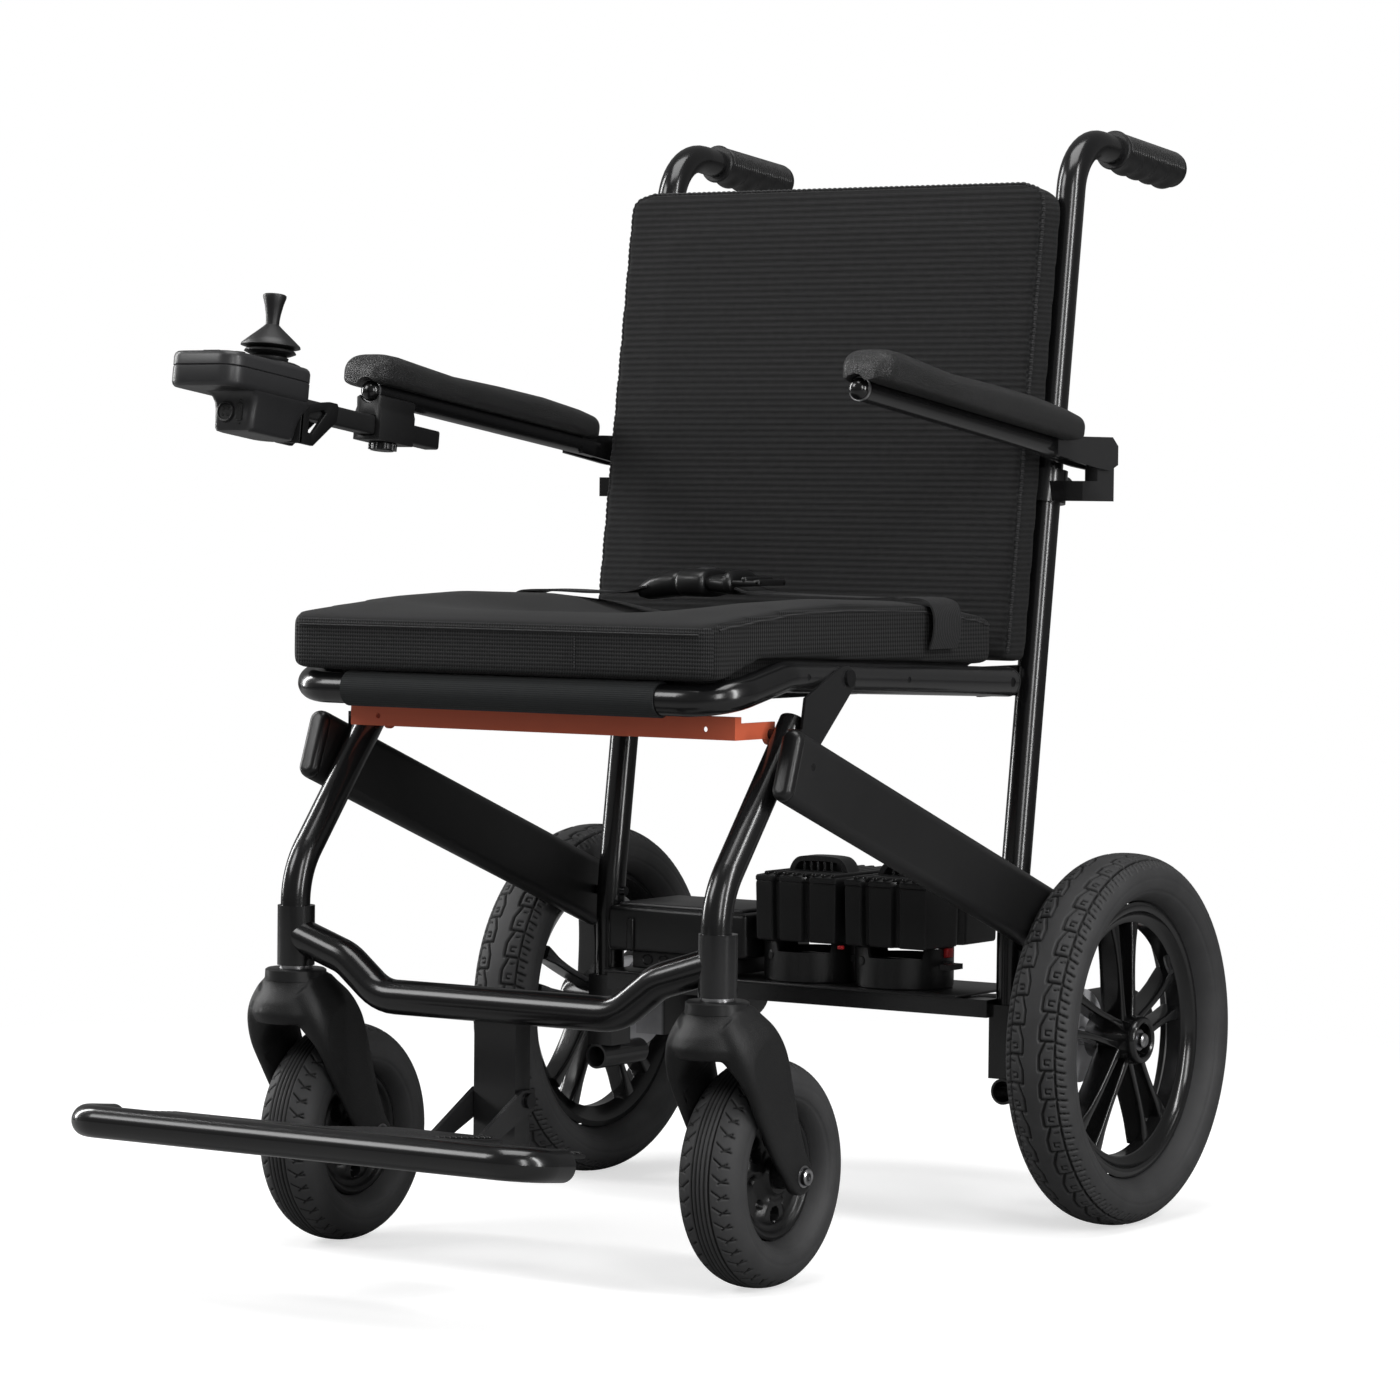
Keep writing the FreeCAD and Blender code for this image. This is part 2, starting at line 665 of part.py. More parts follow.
# release bar: a channel across the front with two arms back to studs on the legs
channel = cut(
    "bar_channel",
    box("bar_front", (-186, -479, 425.4), (186, -470, 443.5)),
    [box("bar_channel_open", (-183.6, -477, 427.6), (183.6, -465, 441.3))],
)
bar_arm = fuse("bar_arm_all", [
    box("bar_arm", (183.4, -479, 425.4), (186, -421, 438.5)),
    across("bar_eye", 8.5, 183.4, 186, BAR_PIVOT),
])
bar_holes = pairs(
    pin_hole("bar_eye_hole", 180, 190, BAR_PIVOT),
    lengthwise("bar_mark_hole", 2.2, -485, -474, (158.4, 433.4)),
)
release_solid = fuse("release_solid", [channel, *pairs(bar_arm)])
node(cut("release_cut", release_solid, bar_holes), "release_bar")

# ------------------------------------------------------------------ footplate
FOOT_BAR_X = 211
FOOT_BAR_REAR = (-748, 127.0)  # y, z
FOOT_BAR_FRONT = (-792.5, 132.0)
foot_bar, foot_bar_bore = tube(
    "foot_bar",
    [
        (FOOT_BAR_X, *FOOT_BAR_REAR),
        (FOOT_BAR_X, *FOOT_BAR_FRONT),
        (-FOOT_BAR_X, *FOOT_BAR_FRONT),
        (-FOOT_BAR_X, *FOOT_BAR_REAR),
    ],
    [26, 26],
)
# side outline of the hinge arm: y, z
FOOT_ARM_OUTLINE = [
    (-530, 146), (-514, 146), (-513, 130), (-588, 101),
    (-760, 121), (-760, 132.0), (-598, 114.1), (-585, 116),
]
bar_end = cylinder("foot_bar_end", 12.5, (FOOT_BAR_X, *FOOT_BAR_REAR), (FOOT_BAR_X, -745, 126.7))
foot_solid = fuse("foot_solid", [
    foot_bar,
    *pairs(bar_end),
    box("foot_bar_rear", (-205, -760, 117), (205, -748, 129.8)),
    *pairs(side_slab("foot_arm", FOOT_ARM_OUTLINE, 20.6, 4.0)),
])
foot_arm_holes = pin_hole("foot_arm_holes", -30, 30, FOOT_PIVOT)
node(cut("foot_cut", foot_solid, [foot_bar_bore, foot_arm_holes]), "footplate_frame")

# top outline of the panel: x, y from its own origin
PANEL_OUTLINE = [
    (-184, -36), (184, -36), (196, -25), (196, 50), (70, 50), (52, 66),
    (52, 142), (-52, 142), (-52, 66), (-70, 50), (-196, 50), (-196, -25),
]
panel = slab("foot_panel", "XY_Plane", PANEL_OUTLINE, 5.0)
panel.Placement = Placement(world(0, -742, 130.25), Rotation(Vector(1, 0, 0), -6.3))
node(panel, "footplate_panel")

foot_pin = fuse("foot_pin_all", [
    pin("foot_pin", -27, 27, FOOT_PIVOT),
    across("foot_pin_head", 6, 24.9, 27.5, FOOT_PIVOT),
])
node(foot_pin, "footplate_pin")

# ------------------------------------------------------------------ caster forks
FORK_HALF, FORK_GAP_HALF = 38, 30.5
# side outline of the fork: y, z
FORK_OUTLINE = [
    (-553, 226), (-501, 226), (-478, 196), (-443, 118), (-443, 78),
    (-461, 68), (-480, 78), (-487, 120), (-508, 172), (-553, 196),
]
gap_x0, gap_x1 = CASTER_X - FORK_GAP_HALF, CASTER_X + FORK_GAP_HALF
fork_blades = cut(
    "fork_trimmed",
    side_slab("fork", FORK_OUTLINE, CASTER_X - FORK_HALF, 2 * FORK_HALF),
    [box("fork_top_trim", (CASTER_X - 60, -600, 205), (CASTER_X + 60, -430, 240))],
)
fork_solid = fuse("fork_solid", [
    fork_blades,
    upright("fork_crown", 36, 188, 210, (CASTER_X, -515)),
    cone("fork_neck", 34, 25, (CASTER_X, -524, 200), (*STEM_AXIS, 221)),
    upright("fork_cap", 25, 218, 229, STEM_AXIS),
])
fork = cut("fork_cut", fork_solid, [
    box("fork_gap", (gap_x0, -520, 40), (gap_x1, -400, 182)),
    across("fork_gap_round", 95, gap_x0, gap_x1, CASTER_AXLE),
    pin_hole("fork_axle_hole", CASTER_X - 50, CASTER_X + 50, CASTER_AXLE),
    upright("fork_stem_hole", STEM_RADIUS, 196, 240, STEM_AXIS, "stem_radius"),
])
node_pair(fork, "caster_fork")

stem = upright("stem_rod", STEM_RADIUS, 196, 257, STEM_AXIS, "stem_radius")
caster_axle = fuse("caster_axle", [
    pin("caster_axle_rod", CASTER_X - 40, CASTER_X + 40, CASTER_AXLE),
    across("caster_axle_head", 7, CASTER_X + 38.05, CASTER_X + 43, CASTER_AXLE),
    across("caster_axle_nut", 7, CASTER_X - 43, CASTER_X - 38.05, CASTER_AXLE),
])
node_pair(group("caster_bolts", [stem, caster_axle]), "caster_bolts")

# ------------------------------------------------------------------ wheels
# half sections: x outward from the wheel's middle plane, radius
DRIVE_RIM = [
    (-26, 8.02), (24, 8.02), (24, 19), (10, 21), (6, 40), (6, 98), (13, 100),
    (13, 116), (-13, 116), (-13, 100), (-2, 98), (-2, 40), (-8, 21), (-26, 19),
]
DRIVE_TYRE = [
    (-13, 116.2), (13, 116.2), (26, 124), (DRIVE_TYRE_HALF, 136), (28, 150), (17, 156.5),
    (0, DRIVE_RADIUS), (-17, 156.5), (-28, 150), (-DRIVE_TYRE_HALF, 136), (-26, 124),
]
CASTER_BORE = PIN_RADIUS + CLEARANCE
CASTER_RIM = [
    (-24, CASTER_BORE), (24, CASTER_BORE), (24, 14), (12, 16), (4, 24), (4, 44), (14, 46),
    (14, 51), (-14, 51), (-14, 46), (-4, 44), (-4, 24), (-12, 16), (-24, 14),
]
CASTER_TYRE = [
    (-14, 51.1), (14, 51.1), (24, 56), (CASTER_TYRE_HALF, 66), (26, 79), (17, 87),
    (0, CASTER_RADIUS), (-17, 87), (-26, 79), (-CASTER_TYRE_HALF, 66), (-24, 56),
]


def wheel(kind, side, x, axle, rim_outline, tyre_outline, windows):
    """Rim and tyre; windows: distance from the axle, radius and count of the rim holes."""
    name = kind + "_" + side
    window_distance, window_radius, window_count = windows
    placement = Placement(world(x, *axle), Rotation(Vector(0, 0, 1), 0 if x > 0 else 180))
    rim = turned(name + "_rim", rim_outline)
    doc.recompute()
    window = side_circles(rim, name + "_window", [(0, window_distance)],
                          name + "_window_radius", window_radius)
    pocket = through_pocket(rim, name + "_cut", window)
    doc.recompute()
    ring = rim.newObject("PartDesign::PolarPattern", name + "_cut_ring")
    ring.Originals = [pocket]
    ring.Axis = (origin_feature(rim, "X_Axis"), [""])
    ring.Angle = 360.0
    ring.Occurrences = window_count
    rim.Tip = ring
    rim.Placement = placement
    tyre = turned(name + "_tyre", tyre_outline)
    tyre.Placement = placement
    node(rim, "%s_rim_%s" % (kind, side))
    node(tyre, "%s_tyre_%s" % (kind, side))


for sign, side in ((1, "left"), (-1, "right")):
    wheel("drive", side, sign * DRIVE_X, DRIVE_AXLE, DRIVE_RIM, DRIVE_TYRE, (70, 20, 5))
    wheel("caster", side, sign * CASTER_X, CASTER_AXLE, CASTER_RIM, CASTER_TYRE, (34, 7, 3))

shaft = fuse("shaft", [
    across("shaft_rod", SHAFT_RADIUS, 207, 296, DRIVE_AXLE, "shaft_radius"),
    across("hub_nut", 13, 295.3, 302, DRIVE_AXLE),
])
node_pair(shaft, "drive_shaft")

# ------------------------------------------------------------------ armrests
ARM_X = 238.3
ARM_FRONT = (-383.6, 699.2)  # y, z


def arm_point(y):
    """A point on the sloping centreline of the armrest tube."""
    front_y, front_z = ARM_FRONT
    return (ARM_X, y, front_z - (y - front_y) * math.tan(math.radians(ARM_SLOPE)))


# side outline of both hinge plates: y, z
ARM_PLATE_OUTLINE = [
    (-86, 669.6), (-66, 667.4), (-56, 668.2), (10, 668.5), (20, 661),
    (20, 645), (6, 640), (-24, 643), (-86, 652),
]
arm_ball = doc.addObject("Part::Sphere", "arm_ball")
bind(arm_ball, "Radius", "arm_ball_rad", 8.6)
arm_ball.Placement = Placement(world(ARM_X, *ARM_FRONT), Rotation())
arm_solid = fuse("arm_solid", [
    cylinder("arm_tube", 9.5, arm_point(ARM_FRONT[0]), arm_point(-58)),
    arm_ball,
    side_slab("arm_plate", ARM_PLATE_OUTLINE, 247.0, 4.0),
    side_slab("arm_inner", ARM_PLATE_OUTLINE, 229.2, 4.0),
    pin("arm_pivot", 229.5, 250.5, ARM_PIVOT),
])
arm_bore = cylinder("arm_tube_bore", 7.5, arm_point(-372), arm_point(-90))
node_pair(cut("arm_frame", arm_solid, [arm_bore]), "armrest_frame")

arm_pad = box("arm_pad_block", (220.5, -392, 708.85), (269, -66, 728.5),
              -ARM_SLOPE, (0, *ARM_FRONT))
arm_pad = fillet("arm_pad_round", arm_pad, "arm_pad_corner", 14.0,
                 lambda edge: 17 < edge.Length < 21)
node_pair(arm_pad, "armrest_pad")

KNOB_Y = -1.8  # front face of the knob
knob = fuse("clamp_knob", [
    lengthwise("knob_hub", 9, KNOB_Y, KNOB_Y + 12.4, KNOB_AXIS),
    box("knob_wing", (FRAME_X - 19, KNOB_Y + 3.4, 622.5), (FRAME_X + 19, KNOB_Y + 11.4, 629.5)),
    lengthwise("knob_stud", KNOB_STUD_RADIUS, -9, KNOB_Y + 1, KNOB_AXIS),
])
node_pair(knob, "clamp_knob")

# ------------------------------------------------------------------ joystick arm, right side
# Points here are (x, along, up) in a frame that slopes with the armrest,
# with its zero at the rear end of the control arm.
JOY_ROOT = (0, -300, 659.5)


def joy_box(name, low, high, x=0):
    def shift(point):
        return (x + point[0], JOY_ROOT[1] + point[1], JOY_ROOT[2] + point[2])

    return box(name, shift(low), shift(high), -ARM_SLOPE, JOY_ROOT)


def joy_point(x, along, up):
    slope = math.radians(-ARM_SLOPE)
    y = JOY_ROOT[1] + along * math.cos(slope) - up * math.sin(slope)
    z = JOY_ROOT[2] + along * math.sin(slope) + up * math.cos(slope)
    return (x, y, z)


def joy_cylinder(name, radius, start, end, alias=None):
    return cylinder(name, radius, joy_point(*start), joy_point(*end), alias)


joy_arm = fuse("joy_arm", [
    joy_box("joy_bar", (-246.3, -160, -8), (-230.3, 0, 8)),
    fuse("joy_bracket", [
        joy_box("joy_bracket_a", (-248.5, -226, -26), (-245, -138, 1.8)),
        joy_box("joy_bracket_c", (-248.5, -150, -8), (-230.3, -138, 8)),
    ]),
])
node(joy_arm, "joystick_bar")

clamp = fuse("joy_clamp_solid", [
    joy_box("joy_clamp_block", (-250.5, -96, -11.5), (-226.1, -40, 20)),
    joy_cylinder("joy_clamp_screw", 5, (-ARM_X, -62, -17), (-ARM_X, -62, -11.4)),
])
node(cut("joy_clamp", clamp, [
    joy_cylinder("joy_clamp_saddle", 9.55, (-ARM_X, -110, 28.91), (-ARM_X, -20, 28.91)),
    joy_box("joy_clamp_slot", (-246.4, -120, -8.1), (-230.2, 20, 8.1)),
]), "joystick_clamp")

# ------------------------------------------------------------------ controller
# x is from the middle of the controller
CONTROL_X = -255.0
STICK_Y = -208  # the stick's place along the arm
GIMBAL_Z = 12  # height of both gimbal axes
GIMBAL_PIN = 1.5
GIMBAL_HOLE = GIMBAL_PIN + CLEARANCE
BUTTON_X, BUTTON_Y = 18, -270
CASE_HEIGHT, COVER_HEIGHT = 17, 11.7


def control_box(name, low, high):
    return joy_box(name, low, high, CONTROL_X)


def control_cylinder(name, radius, start, end, alias=None):
    start = (CONTROL_X + start[0], *start[1:])
    end = (CONTROL_X + end[0], *end[1:])
    return joy_cylinder(name, radius, start, end, alias)


def stick_cylinder(name, radius, z0, z1):
    return control_cylinder(name, radius, (0, STICK_Y, z0), (0, STICK_Y, z1))


def stick_cone(name, start_radius, end_radius, z0, z1):
    start, end = joy_point(CONTROL_X, STICK_Y, z0), joy_point(CONTROL_X, STICK_Y, z1)
    return cone(name, start_radius, end_radius, start, end)


def gimbal_across(name, radius, x0, x1, alias):
    start, end = (x0, STICK_Y, GIMBAL_Z), (x1, STICK_Y, GIMBAL_Z)
    return control_cylinder(name, radius, start, end, alias)


lower = fuse("ctl_lower", [
    control_box("ctl_case", (-35, -298, 2), (35, -180, 2 + CASE_HEIGHT)),
    control_box("ctl_boss", (-28, -262, -30), (6.4, -196, 2.2)),
    control_box("ctl_boss_wide", (-28, -230, -26), (2.8, -188, 2.2)),
])
lower = fillet("ctl_lower_round", lower, "ctl_case_corner", 16.0,
               lambda edge: abs(edge.Length - CASE_HEIGHT) < 0.05)
lower = cut("ctl_hollow", lower, [
    control_box("ctl_cavity", (-31, -292, 6), (31, -186, 19.5)),
    control_cylinder("charge_socket", 7.5, (-9, -263, -14), (-9, -250, -14)),
    stick_cylinder("gimbal_well", 14.8, 3.8, 7),
])
lower = fuse("ctl_with_posts", [
    lower,
    control_box("gimbal_post_a", (-19, -212, 5.5), (-15, -204, 16)),
    control_box("gimbal_post_b", (15, -212, 5.5), (19, -204, 16)),
])
post_hole = gimbal_across("gimbal_post_hole", GIMBAL_HOLE, -25, 25, "gimbal_hole_radius")
lower = cut("ctl_bored", lower, [post_hole])

upper = control_box("ctl_cover", (-35, -298, 19.3), (35, -180, 19.3 + COVER_HEIGHT))
upper = fillet("ctl_cover_round", upper, "ctl_case_corner", 16.0,
               lambda edge: abs(edge.Length - COVER_HEIGHT) < 0.05)
upper = cut("ctl_cover_open", upper, [
    control_box("ctl_cover_cavity", (-31, -292, 18), (31, -186, 28)),
    stick_cylinder("stick_opening", 20, 20, 40),
    *[
        control_cylinder("btn_hole_" + end, 5.1, (x, BUTTON_Y, 20), (x, BUTTON_Y, 40))
        for end, x in (("a", -BUTTON_X), ("b", BUTTON_X))
    ],
    control_box("rocker_hole", (-8.2, -284, 20), (8.2, -262, 40)),
])
node(group("controller_cases", [lower, upper]), "controller_shells")

# the ring turns on trunnions along X; the stick turns in it on an axis along the arm
ring = cut("gimbal_hollow", stick_cylinder("gimbal_outer", 14, 9, 15), [
    stick_cylinder("gimbal_inner", 10.5, 5, 20),
    control_cylinder("gimbal_hole", GIMBAL_HOLE, (0, -230, GIMBAL_Z), (0, -190, GIMBAL_Z),
                     "gimbal_hole_radius"),
])
node(fuse("gimbal", [
    ring,
    gimbal_across("gimbal_trunnion", GIMBAL_PIN, -16.5, -13.5, "gimbal_pin_radius"),
    gimbal_across("gimbal_trunnion_b", GIMBAL_PIN, 13.5, 16.5, "gimbal_pin_radius"),
]), "gimbal_ring")

node(fuse("stick", [
    stick_cylinder("stick_rod", 4, GIMBAL_Z, 60),
    stick_cylinder("stick_block", 6, 7, 17),
    control_cylinder("stick_cross", GIMBAL_PIN, (0, -221.5, GIMBAL_Z), (0, -194.5, GIMBAL_Z),
                     "gimbal_pin_radius"),
    stick_cylinder("boot_ring_a", 14, 37, 40),
    stick_cylinder("boot_ring_b", 20, 41, 45),
    stick_cone("boot_cone", 24, 8, 46, 62),
    stick_cylinder("boot_core", 13, 37, 47),
    stick_cone("stick_knob", 6.5, 10, 61, 89),
]), "joystick")

for label, x in (("power_button", -BUTTON_X), ("horn_button", BUTTON_X)):
    button = control_cylinder(label + "_body", 5, (x, BUTTON_Y, 28.6), (x, BUTTON_Y, 33.2),
                              "button_radius")
    node(button, label)
node(fuse("rocker_all", [
    control_box("rocker_key", (-8, -283.5, 29), (8, -262.5, 33)),
    control_cylinder("rocker_pin", 1.5, (-8, -273, 28.5), (8, -273, 28.5)),
]), "speed_rocker")

# ------------------------------------------------------------------ check and write
doc.recompute()
bad = []
for obj in doc.Objects:
    if "Invalid" in obj.State or "Error" in obj.State:
        bad.append("%s (%s) %s" % (obj.Name, obj.Label, obj.State))
for obj in NODES:
    shape = obj.Shape
    if obj.Label == "footplate_frame" and (shape.isNull() or shape.BoundBox.YLength < 280):
        bad.append("footplate bar lost")
    if shape.isNull() or not shape.isValid() or not shape.Solids:
        bad.append("shape of " + obj.Label)
if bad:
    raise RuntimeError("not written: " + "; ".join(bad))
labels = [obj.Label for obj in NODES]
if len(set(labels)) != len(labels) or len(labels) > 60:
    raise RuntimeError("labels: %d" % len(labels))
for obj in NODES:
    obj.Shape.exportStep("parts/%s.step" % obj.Label)
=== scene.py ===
# A powered wheelchair: drive wheels at the back, casters in front, joystick on the right armrest.
# It faces -Y with the sitter's left at +X and the floor at z = 0.
# Lengths are millimetres from the floor under the drive axle, turned into metres by point().
# Mesh widths, radii and moves that don't pass through point() are in metres where noted.
import math
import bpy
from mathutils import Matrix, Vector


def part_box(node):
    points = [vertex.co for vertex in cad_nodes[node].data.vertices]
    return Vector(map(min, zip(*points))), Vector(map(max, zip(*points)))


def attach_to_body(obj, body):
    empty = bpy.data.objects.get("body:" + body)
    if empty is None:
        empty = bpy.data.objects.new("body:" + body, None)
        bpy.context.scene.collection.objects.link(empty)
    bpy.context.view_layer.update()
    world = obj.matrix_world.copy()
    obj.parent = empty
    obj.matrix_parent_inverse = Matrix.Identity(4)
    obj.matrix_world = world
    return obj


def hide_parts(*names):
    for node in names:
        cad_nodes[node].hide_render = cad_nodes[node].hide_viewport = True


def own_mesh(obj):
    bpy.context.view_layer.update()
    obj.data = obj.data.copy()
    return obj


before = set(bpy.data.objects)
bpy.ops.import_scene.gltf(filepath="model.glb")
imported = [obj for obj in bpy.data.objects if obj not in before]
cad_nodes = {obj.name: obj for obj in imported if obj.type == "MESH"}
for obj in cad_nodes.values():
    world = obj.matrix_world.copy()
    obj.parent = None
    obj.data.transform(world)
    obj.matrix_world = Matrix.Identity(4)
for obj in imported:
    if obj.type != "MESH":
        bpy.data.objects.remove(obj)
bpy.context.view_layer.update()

from types import SimpleNamespace

import bmesh
import bpy
import numpy as np
from mathutils import Matrix, Vector
from mathutils.bvhtree import BVHTree

tyre_low, tyre_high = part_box("drive_tyre_left")
AXLE_Y = (tyre_low.y + tyre_high.y) / 2.0       # metres in the shared frame
SIDES = ((1, "left"), (-1, "right"))

# Wheels stand on the floor, so a wheel's centre is as high as its radius.
DRIVE = SimpleNamespace(
    kind="drive", x=271.2, y=0, radius=158, half_width=30.8,
    widest_radius=137, bead_radius=117.2, bead_x=15,
    segments=960, section_points=150, groove_depth=2.2)
CASTER = SimpleNamespace(
    kind="caster", x=203.5, y=-461.8, radius=89.6, half_width=27.8,
    widest_radius=67, bead_radius=51.6, bead_x=14.5,
    segments=640, section_points=120, groove_depth=1.5)
STEM_Y, STEM_Z = -527, 227                      # top of the caster forks
FORK_LEG_X = 34.0                               # leg's middle from the wheel's middle

BACK_LEAN = 7.9                                 # degrees
BACK_TILT = Matrix.Rotation(math.radians(-BACK_LEAN), 3, "X")
ARM_TILT = Matrix.Rotation(math.radians(-7.2), 3, "X")
ARM_TUBE_X = 238.3


def point(x, y, z):
    """Millimetres from the floor under the drive axle -> metres in the shared frame."""
    return Vector((x / 1000.0, AXLE_Y + y / 1000.0, z / 1000.0))


def tilted_frame(origin, tilt):
    """A function that places millimetres measured in a tilted frame."""
    return lambda x, y, z: origin + tilt @ Vector((x / 1000, y / 1000, z / 1000))


def wheel_centre(wheel, side):
    return point(side * wheel.x, wheel.y, wheel.radius)


back_point = tilted_frame(point(0, -97.5, 480), BACK_TILT)      # x, depth, height up the slope
STICK_ORIGIN = point(0, -300, 659.5)
stick_point = tilted_frame(STICK_ORIGIN, ARM_TILT)
STICK_UP = tuple(ARM_TILT @ Vector((0, 0, 1)))
STICK_DOWN = tuple(ARM_TILT @ Vector((0, 0, -1)))
STICK_FRONT = tuple(ARM_TILT @ Vector((0, -1, 0)))


# ------------------------------------------------------------------ shader building
class Shader:
    """A new material with a Principled surface, built up node by node."""

    def __init__(self, name):
        self.material = bpy.data.materials.new(name)
        self.material.use_nodes = True
        self.tree = self.material.node_tree
        self.tree.nodes.clear()
        self.output = self.node("ShaderNodeOutputMaterial")
        self.surface = self.node("ShaderNodeBsdfPrincipled")
        self.feed(self.output.inputs[0], self.surface.outputs[0])
        self.coords = self.node("ShaderNodeTexCoord").outputs["Object"]

    def node(self, kind, **settings):
        """A node with input values or properties set by name."""
        node = self.tree.nodes.new(kind)
        for key, value in settings.items():
            if key in node.inputs:
                node.inputs[key].default_value = value
            else:
                setattr(node, key, value)
        return node

    def feed(self, socket, value):
        """Link an output into the socket, or set the socket's value."""
        if isinstance(value, bpy.types.NodeSocket):
            self.tree.links.new(value, socket)
        else:
            socket.default_value = value

    def set(self, **values):
        """Feed the surface's inputs; underscores stand for spaces."""
        for key, value in values.items():
            self.feed(self.surface.inputs[key.replace("_", " ")], value)

    def noise(self, scale, detail=4.0, output=0):
        node = self.node("ShaderNodeTexNoise", Scale=scale, Detail=detail, Roughness=0.6)
        self.feed(node.inputs["Vector"], self.coords)
        return node.outputs[output]

    def remap(self, value, start, end, low=0.0, high=1.0):
        node = self.node("ShaderNodeMapRange")
        for socket, number in zip(node.inputs, (value, start, end, low, high)):
            self.feed(socket, number)
        return node.outputs[0]

    def math(self, operation, *values):
        node = self.node("ShaderNodeMath", operation=operation)
        for socket, value in zip(node.inputs, values):
            self.feed(socket, value)
        return node.outputs[0]

    def wave(self, value, pitch):
        return self.math("SINE", self.math("MULTIPLY", value, 2 * math.pi / pitch))

    def separate(self, vector):
        node = self.node("ShaderNodeSeparateXYZ")
        self.feed(node.inputs[0], vector)
        return node.outputs

    def mix(self, factor, first, second):
        """Mix two colours; each is an RGB triple or an output."""
        node = self.node("ShaderNodeMix", data_type="RGBA")
        self.feed(node.inputs[0], factor)
        for index, colour in ((6, first), (7, second)):
            self.feed(node.inputs[index], (*colour, 1) if isinstance(colour, tuple) else colour)
        return node.outputs[2]

    def join_shaders(self, kind, *inputs):
        node = self.node(kind)
        for socket, value in zip(node.inputs, inputs):
            self.feed(socket, value)
        return node.outputs[0]

    def bump(self, height, strength, distance):
        node = self.node("ShaderNodeBump", Strength=strength, Distance=distance)
        self.feed(node.inputs["Height"], height)
        self.set(Normal=node.outputs[0])


# ------------------------------------------------------------------ materials
def paint(name, dark, light, rough, grain, coat=0.0, metallic=0.0, specular=0.5):
    """Mottled paint or plastic, with a painted highlight that makes it paler on its edges; grain
    is (noise scale, bump strength).
    """
    shader = Shader(name)
    mottle = shader.remap(shader.noise(9.0, detail=5.0), 0.35, 0.65)
    base = shader.mix(mottle, dark, light)
    geometry = shader.node("ShaderNodeNewGeometry")
    # painted highlight: sharp edges, found by pointiness, are mixed towards a paler colour
    edge_highlight = shader.remap(geometry.outputs["Pointiness"], 0.52, 0.62)
    edge_highlight_colour = tuple(min(1, channel * 3 + 0.02) for channel in light)
    gloss = shader.remap(shader.noise(55.0, detail=3.0), 0.3, 0.7, rough * 0.96, rough * 1.04)
    shader.set(Base_Color=shader.mix(shader.math("MULTIPLY", edge_highlight, 0.35), base, edge_highlight_colour),
               Roughness=gloss, Coat_Weight=coat, Coat_Roughness=0.12,
               Metallic=metallic, Specular_IOR_Level=specular)
    shader.bump(shader.noise(grain[0], detail=2.0), grain[1], distance=0.0004)
    return shader.material


# key: material name, dark colour, light colour, roughness, (grain scale, strength), other values
PAINTS = {
    "gloss": ("gloss_black_paint", (0.0040, 0.0040, 0.0043), (0.0052, 0.0052, 0.0055),
              0.22, (160.0, 0.002), dict(coat=0.25)),
    "satin": ("satin_black_paint", (0.0058, 0.0058, 0.0060), (0.0074, 0.0074, 0.0077),
              0.42, (700.0, 0.10), dict(specular=0.36)),
    "wheel": ("gloss_wheel_paint", (0.0030, 0.0030, 0.0032), (0.0042, 0.0042, 0.0044),
              0.20, (160.0, 0.002), dict(coat=0.3)),
    "red": ("red_orange_paint", (0.62, 0.095, 0.042), (0.56, 0.080, 0.036),
            0.46, (900.0, 0.16), {}),
    "plastic": ("black_plastic", (0.0046, 0.0046, 0.0048), (0.0062, 0.0062, 0.0065),
                0.33, (1400.0, 0.12), dict(specular=0.45)),
    "charcoal": ("charcoal_plastic", (0.018, 0.018, 0.019), (0.022, 0.022, 0.023),
                 0.36, (1500.0, 0.10), {}),
    "grain": ("textured_black_plastic", (0.0088, 0.0088, 0.0091), (0.0120, 0.0120, 0.0123),
              0.50, (1100.0, 0.75), dict(specular=0.34)),
    "steel": ("steel", (0.30, 0.30, 0.31), (0.38, 0.38, 0.39),
              0.28, (300.0, 0.06), dict(metallic=1.0)),
    "dark steel": ("dark_steel", (0.035, 0.035, 0.036), (0.05, 0.05, 0.052),
                   0.30, (300.0, 0.06), dict(metallic=1.0)),
    "red plastic": ("red_plastic", (0.40, 0.010, 0.012), (0.34, 0.008, 0.010),
                    0.35, (900.0, 0.1), {}),
    "rubber": ("boot_rubber", (0.0075, 0.0075, 0.0078), (0.0100, 0.0100, 0.0103),
               0.42, (900.0, 0.18), {}),
}


def tyre_rubber():
    """Grey rubber, with painted shade that makes it nearly black where the groove attribute is
    high.
    """
    shader = Shader("tyre_rubber")
    mottle = shader.remap(shader.noise(30.0, detail=6.0), 0.3, 0.7)
    base = shader.mix(mottle, (0.031, 0.031, 0.032), (0.043, 0.043, 0.044))
    groove = shader.node("ShaderNodeAttribute", attribute_name="groove")
    # painted shade: the grooves are darkened towards black to stand in for their occlusion
    groove_shade = shader.remap(groove.outputs["Fac"], 0.15, 0.75)
    shader.set(Base_Color=shader.mix(groove_shade, base, (0.0035, 0.0035, 0.0035)), Roughness=0.66)
    shader.bump(shader.noise(1500.0, detail=2.0), strength=0.35, distance=0.0004)
    return shader.material


